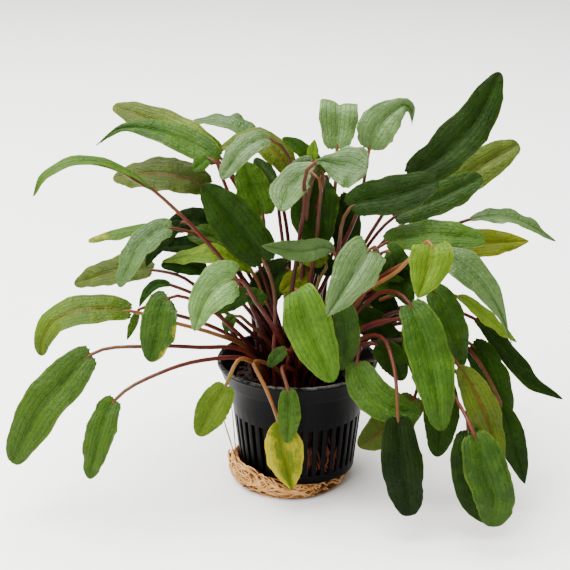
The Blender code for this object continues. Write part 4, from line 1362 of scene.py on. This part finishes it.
@dataclass
class Medium:
    """The peat in the pot: a lumpy plug with loose crumbs on top."""

    top: float = 0.0360
    radius: float = 0.0207
    crumbs: int = 260

    def build(self) -> None:
        """Models the plug and its crumbs, and has them stand for the solid."""
        plug = self.plug()
        plug = join("visual_growing_medium", [plug, *self.scatter()])
        plug.data.materials.clear()
        plug.data.materials.append(PEAT.material())
        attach(plug, "root")
        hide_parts("growing_medium")
        LOG.info("growing medium built with %d faces", len(plug.data.polygons))

    def plug(self) -> bpy.types.Object:
        """Models the plug as a drum whose skin is roughened."""
        deselect()
        bpy.ops.mesh.primitive_cylinder_add(
            vertices=96, radius=self.radius, depth=self.top - 0.0062, location=(0, 0, 0.5 * (self.top + 0.0062))
        )
        plug = named("plug")
        bpy.ops.object.transform_apply(location=True, rotation=False, scale=False)
        bpy.ops.object.mode_set(mode="EDIT")
        pick(plug, lambda co: co.z < 0.02)
        bpy.ops.transform.resize(value=(0.865, 0.865, 1.0), center_override=(0.0, 0.0, 0.0))
        pick(plug, lambda middle: abs(math.hypot(middle.x, middle.y)) < 0.001, faces=True)
        for share in (0.93, 0.90, 0.87, 0.83, 0.78, 0.70, 0.55):
            bpy.ops.mesh.inset(thickness=self.radius * (1 - share) * 0.42, use_even_offset=True)
        mesh = bmesh.from_edit_mesh(plug.data)
        for edge in mesh.edges:
            edge.select_set(abs(edge.verts[0].co.z - edge.verts[1].co.z) > 0.02)
        bmesh.update_edit_mesh(plug.data)
        bpy.ops.mesh.subdivide(number_cuts=24)
        bpy.ops.object.mode_set(mode="OBJECT")
        points = read_points(plug)
        for row in points:
            reach = math.hypot(row[0], row[1])
            rough = noise.fractal(Vector(row) * 420, 0.7, 2.0, 4)
            if row[2] > self.top - 0.0003:
                row[2] += 0.0008 * rough - 0.0010 * min(1.0, (reach / self.radius) ** 4)
            elif reach > 0.5 * self.radius:
                row[:2] *= 1 - 0.0006 * (1 + rough) / reach
        write_points(plug, points)
        bpy.ops.object.shade_smooth()
        return plug

    def scatter(self) -> list[bpy.types.Object]:
        """Scatters copies of one crumb over the top."""
        deselect()
        bpy.ops.mesh.primitive_ico_sphere_add(subdivisions=1, radius=1.0)
        crumb = named("crumb")
        shape = read_points(crumb)
        chance = random.Random(5)
        found = []
        for number in range(self.crumbs):
            copy = crumb.copy()
            copy.data = crumb.data.copy()
            copy.name = f"crumb_{number}"
            bpy.context.scene.collection.objects.link(copy)
            reach = self.radius * math.sqrt(chance.uniform(0.05, 0.93))
            turn = chance.uniform(0, 2 * math.pi)
            size = np.array([chance.uniform(0.0003, 0.0011) for _ in range(3)])
            jitter = np.array([[chance.uniform(0.8, 1.2)] for _ in shape])
            place = (reach * math.cos(turn), reach * math.sin(turn), self.top - 0.0004 + 0.4 * size[2])
            write_points(copy, shape * jitter * size + place)
            found.append(copy)
        bpy.data.objects.remove(crumb)
        return found


@dataclass(frozen=True)
class Oval:
    """A ring of the mat, which stands further out on the left than on the right."""

    middle: float
    half_across: float
    half_deep: float

    def radius(self, turn: float) -> float:
        """Returns how far the ring reaches from the pot's axis on one bearing."""
        across, ahead = math.cos(turn), math.sin(turn)
        square = (across / self.half_across) ** 2 + (ahead / self.half_deep) ** 2
        linear = -self.middle * across / self.half_across**2
        return (math.sqrt(linear**2 + square * (1 - (self.middle / self.half_across) ** 2)) - linear) / square


Strand = tuple[list[Point], float]


@dataclass
class RootMat:
    """The mat of roots: a lumpy dish, with strands wound round it, loops at the front left and loose ends."""

    flat: Oval = Oval(-0.0026, 0.0182, 0.0200)
    bulge: Oval = Oval(-0.0029, 0.0197, 0.0219)
    seat: float = 0.0041
    climb: float = 0.0032
    climb_start: float = 0.30
    climb_bearing: float = math.radians(205)
    strands: int = 330
    seed: int = 11

    def build(self) -> None:
        """Models the dish and the strands."""
        dish = self.dish()
        dish.data.materials.append(ROOT_BODY.material())
        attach(dish, "root")
        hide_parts("root_mat")
        strands = self.wind()
        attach(strands, "root")
        LOG.info("root mat built with %d faces of strands", len(strands.data.polygons))

    def edge(self, turn: float) -> float:
        """Returns the height that the mat reaches on one bearing: under the pot, or up its side on the left."""
        share = (math.cos(turn - self.climb_bearing) - self.climb_start) / (1 - self.climb_start)
        share = min(max(share, 0.0), 1.0)
        return self.seat + self.climb * share * share * (3 - 2 * share)

    def dish(self) -> bpy.types.Object:
        """Models the dish under the strands by extruding a disc's edge outwards, up and in."""
        deselect()
        bpy.ops.mesh.primitive_circle_add(vertices=180, radius=1.0, fill_type="TRIFAN")
        dish = named("visual_root_mat")
        bpy.ops.object.mode_set(mode="EDIT")
        mesh = bmesh.from_edit_mesh(dish.data)
        bpy.context.tool_settings.mesh_select_mode = (False, True, False)
        for edge in mesh.edges:
            edge.select_set(all(math.hypot(v.co.x, v.co.y) > 0.5 for v in edge.verts))
        bmesh.update_edit_mesh(dish.data)
        radius, height = 1.0, 0.0
        for next_radius, next_height in self.steps():
            bpy.ops.mesh.extrude_edges_move(TRANSFORM_OT_translate={"value": (0.0, 0.0, next_height - height)})
            share = next_radius / radius
            bpy.ops.transform.resize(value=(share, share, 1.0), center_override=(0.0, 0.0, next_height))
            radius, height = next_radius, next_height
        bpy.ops.mesh.fill()
        bpy.ops.mesh.select_all(action="SELECT")
        bpy.ops.mesh.normals_make_consistent(inside=False)
        bpy.ops.object.mode_set(mode="OBJECT")
        points = read_points(dish)
        for row in points:
            self.settle(row)
        write_points(dish, points)
        bpy.ops.object.shade_smooth()
        return dish

    @staticmethod
    def steps() -> tuple[tuple[float, float], ...]:
        """Returns the skin's rings: a share of the oval, and a share of the edge's height."""
        return ((1.01, 0.12), (1.04, 0.35), (1.05, 0.65), (1.04, 0.86), (1.01, 0.96), (0.98, 0.94), (0.95, 0.80), (0.05, 0.78))

    def settle(self, row: np.ndarray) -> None:
        """Moves a point of the unit disc to its place on the mat, with the lumps of the roots.

        Args:
            row: The point, which is changed.
        """
        turn, share, high = math.atan2(row[1], row[0]), math.hypot(row[0], row[1]), row[2]
        reach = share * self.flat.radius(turn)
        lump = noise.noise(Vector((math.cos(turn), math.sin(turn), 0.6 * high)) * 9)
        fine = noise.noise(Vector((math.cos(turn), math.sin(turn), 0.3 * high)) * 31)
        row[2] = high * (self.edge(turn) if share > 0.97 else self.seat)
        if high > 0.1 and share > 1.0:
            reach += 0.0005 * lump + 0.0004 * fine
            row[2] += (0.0003 * lump + 0.0003 * fine) * high
        row[:2] = reach * math.cos(turn), reach * math.sin(turn)

    def wind(self) -> bpy.types.Object:
        """Lays the strands, tone by tone, and joins them."""
        chance = random.Random(self.seed)
        batches: list[list[Strand]] = [[], [], []]
        for number in range(self.strands):
            tone = chance.choices((0, 1, 2), (4, 5, 4))[0]
            batches[tone].append((self.arc(chance, number, 0.0003 * (1 - tone)), chance.uniform(0.00018, 0.00046)))
        batches[0] += self.loops()
        for number, end in enumerate(self.loose_ends()):
            batches[number % 3].append(end)
        batches[1] += self.climbing()
        batches[2] += self.through_slots()
        return join("visual_root_strands", [self.bundle(*pair) for pair in zip(ROOT_TONES, batches)])

    def bundle(self, finish: FibreFinish, strands: list[Strand]) -> bpy.types.Object:
        """Lays strands of one tone as bevelled curves and makes them a mesh.

        Args:
            finish: Their finish.
            strands: Their paths and radii.

        Returns:
            The mesh.
        """
        deselect()
        bpy.ops.curve.primitive_nurbs_path_add(radius=0.01)
        bundle = named(finish.name)
        curve = bundle.data
        curve.splines.clear()
        curve.dimensions = "3D"
        curve.bevel_depth = 1.0
        curve.bevel_resolution = 0
        curve.resolution_u = 3
        for path, radius in strands:
            self.strand(curve, path, radius)
        bpy.ops.object.convert(target="MESH")
        bundle.data.materials.append(finish.material())
        bpy.ops.object.shade_smooth()
        return bundle

    def strand(self, curve: bpy.types.Curve, path: list[Point], radius: float) -> None:
        """Adds one strand.

        Args:
            curve: The curve that holds the strands.
            path: The points that it passes.
            radius: Its radius, which thins at the ends.
        """
        spline = curve.splines.new("NURBS")
        spline.points.add(len(path) - 1)
        for number, (point, place) in enumerate(zip(spline.points, path)):
            share = number / (len(path) - 1)
            point.co = (*place, 1.0)
            point.radius = radius * (1 - 0.55 * abs(2 * share - 1) ** 3)
        spline.use_endpoint_u = True
        spline.order_u = 4

    def arc(self, chance: random.Random, number: int, out: float) -> list[Point]:
        """Plots a strand that wanders round the mat's edge.

        Args:
            chance: The seeded source of chance.
            number: The strand's number.
            out: How far it stands out of the mat's middle skin.

        Returns:
            Its points.
        """
        start = chance.uniform(0, 2 * math.pi)
        sweep = chance.uniform(0.25, 1.3) * chance.choice((-1, 1))
        level = chance.uniform(0.05, 1.0)
        drift = chance.uniform(-0.6, 0.6)
        path = []
        steps = 9
        for step in range(steps):
            share = step / (steps - 1)
            turn = start + sweep * share
            high = min(max(level + drift * share + 0.2 * math.sin(9 * share + number), 0.03), 1.08)
            reach = self.bulge.radius(turn) - 0.0016 * (2 * high - 1.05) ** 2 + chance.uniform(-0.0003, 0.0004)
            height = max(high * self.edge(turn), 0.0004)
            path.append(((reach + out) * math.cos(turn), (reach + out) * math.sin(turn), height))
        return path

    def loops(self) -> list[Strand]:
        """Plots the pale loops that stand off at the front left."""
        found = []
        chance = random.Random(3)
        for number in range(26):
            turn = math.radians(chance.uniform(188, 230))
            across, rise = chance.uniform(0.0016, 0.0042), chance.uniform(0.0008, 0.0024)
            height = max(self.edge(turn) * chance.uniform(0.62, 1.12), rise + 0.0008)
            first, turns = chance.uniform(0, 2 * math.pi), chance.uniform(0.7, 1.15)
            path = []
            for step in range(11):
                angle = first + 2 * math.pi * turns * step / 10
                bearing = turn + across * math.cos(angle) / 0.022
                reach = self.bulge.radius(bearing) + 0.0001 + 0.0007 * math.sin(0.7 * angle + number)
                place = reach * math.cos(bearing), reach * math.sin(bearing), height + rise * math.sin(angle)
                path.append(place)
            found.append((path, chance.uniform(0.00028, 0.00050)))
        return found

    def loose_ends(self) -> list[Strand]:
        """Plots short ends that stick out of the mat all round."""
        found = []
        chance = random.Random(8)
        for _ in range(150):
            turn = chance.uniform(0, 2 * math.pi)
            height = self.edge(turn) * chance.uniform(0.15, 1.1)
            length, lean = chance.uniform(0.0006, 0.0019), chance.uniform(-1.2, 1.2)
            rise = chance.uniform(-0.4, 0.7)
            path = []
            for step in range(5):
                share = step / 4
                bearing = turn + lean * length * share / 0.02
                reach = self.bulge.radius(turn) - 0.0008 + length * share
                place = reach * math.cos(bearing), reach * math.sin(bearing), height + rise * length * share**2
                path.append((*place[:2], max(place[2], 0.0004)))
            found.append((path, chance.uniform(0.00015, 0.00032)))
        return found

    @staticmethod
    def climbing() -> list[Strand]:
        """Plots the two fine strands that rise beside the pot on the left."""
        outer = [(-0.0247, -0.004, 0.0214), (-0.0241, -0.004, 0.0180), (-0.0229, -0.004, 0.0148), (-0.0216, -0.004, 0.0092)]
        inner = [(-0.0221, -0.002, 0.0256), (-0.0217, -0.002, 0.0210), (-0.0212, -0.003, 0.0150), (-0.0207, -0.005, 0.0080)]
        return [(outer, 0.00028), (inner, 0.00024)]

    @staticmethod
    def through_slots() -> list[Strand]:
        """Plots the brown roots that press against the pot's lower slots at the front right."""
        found = []
        chance = random.Random(21)
        for _ in range(46):
            turn = math.radians(chance.uniform(274, 312))
            low = chance.uniform(0.0072, 0.0150)
            length, lean = chance.uniform(0.0020, 0.0060), chance.uniform(-0.10, 0.10)
            path = []
            for step in range(5):
                share = step / 4
                height = low + length * share
                bearing = turn + lean * share + chance.uniform(-0.012, 0.012)
                reach = 0.0193 + 0.115 * (height - 0.0045) - chance.uniform(0.0004, 0.0010)
                path.append((reach * math.cos(bearing), reach * math.sin(bearing), height))
            found.append((path, chance.uniform(0.00020, 0.00042)))
        return found


# The stage


@dataclass
class Studio:
    """The floor, the lights and the camera."""

    camera_place: Point = (-0.00413, -0.4519, 0.2233)
    pitch: float = 71.0
    focal_px: float = 1454.0
    frame_px: float = 570.0

    def build(self) -> None:
        """Sets up the floor, the lights and the camera."""
        self.floor()
        self.light("sky", (-0.35, 0.10, 1.20), 1.3, 92.0)
        self.light("key", (-0.55, -0.65, 0.75), 0.7, 14.0)
        world = bpy.data.worlds.new("studio")
        world.use_nodes = True
        world.node_tree.nodes["Background"].inputs["Color"].default_value = (1.0, 0.99, 0.97, 1.0)
        world.node_tree.nodes["Background"].inputs["Strength"].default_value = 0.6
        bpy.context.scene.world = world
        self.camera()

    def floor(self) -> None:
        """Lays the pale floor."""
        deselect()
        bpy.ops.mesh.primitive_plane_add(size=6.0)
        floor = named("floor")
        material, _, shader = new_material("pale floor")
        shader.inputs["Base Color"].default_value = hexed("f1efec")
        shader.inputs["Roughness"].default_value = 0.9
        floor.data.materials.append(material)

    def light(self, name: str, place: Point, size: float, power: float) -> None:
        """Adds a soft light that looks at the plant.

        Args:
            name: The light's name.
            place: Where it hangs.
            size: The side of its square.
            power: Its power in watts.
        """
        data = bpy.data.lights.new(name, "AREA")
        data.size = size
        data.energy = power
        light = bpy.data.objects.new(name, data)
        light.location = place
        light.rotation_euler = (Vector((0, 0, 0.06)) - Vector(place)).to_track_quat("-Z", "Y").to_euler()
        bpy.context.scene.collection.objects.link(light)

    def camera(self) -> None:
        """Places the camera at the photograph's view."""
        data = bpy.data.cameras.new("camera")
        data.sensor_width = 36.0
        data.lens = 36.0 * self.focal_px / self.frame_px
        data.clip_start = 0.01
        camera = bpy.data.objects.new("camera", data)
        camera.location = self.camera_place
        camera.rotation_euler = (math.radians(self.pitch), 0.0, 0.0)
        bpy.context.scene.collection.objects.link(camera)
        bpy.context.scene.camera = camera


def main() -> None:
    """Builds each sub-assembly in turn."""
    logging.basicConfig(level=logging.INFO, format="%(name)s: %(message)s")
    Studio().build()
    NetPot().build()
    Medium().build()
    RootMat().build()
    Foliage().build()


if __name__ == "__main__":
    main()
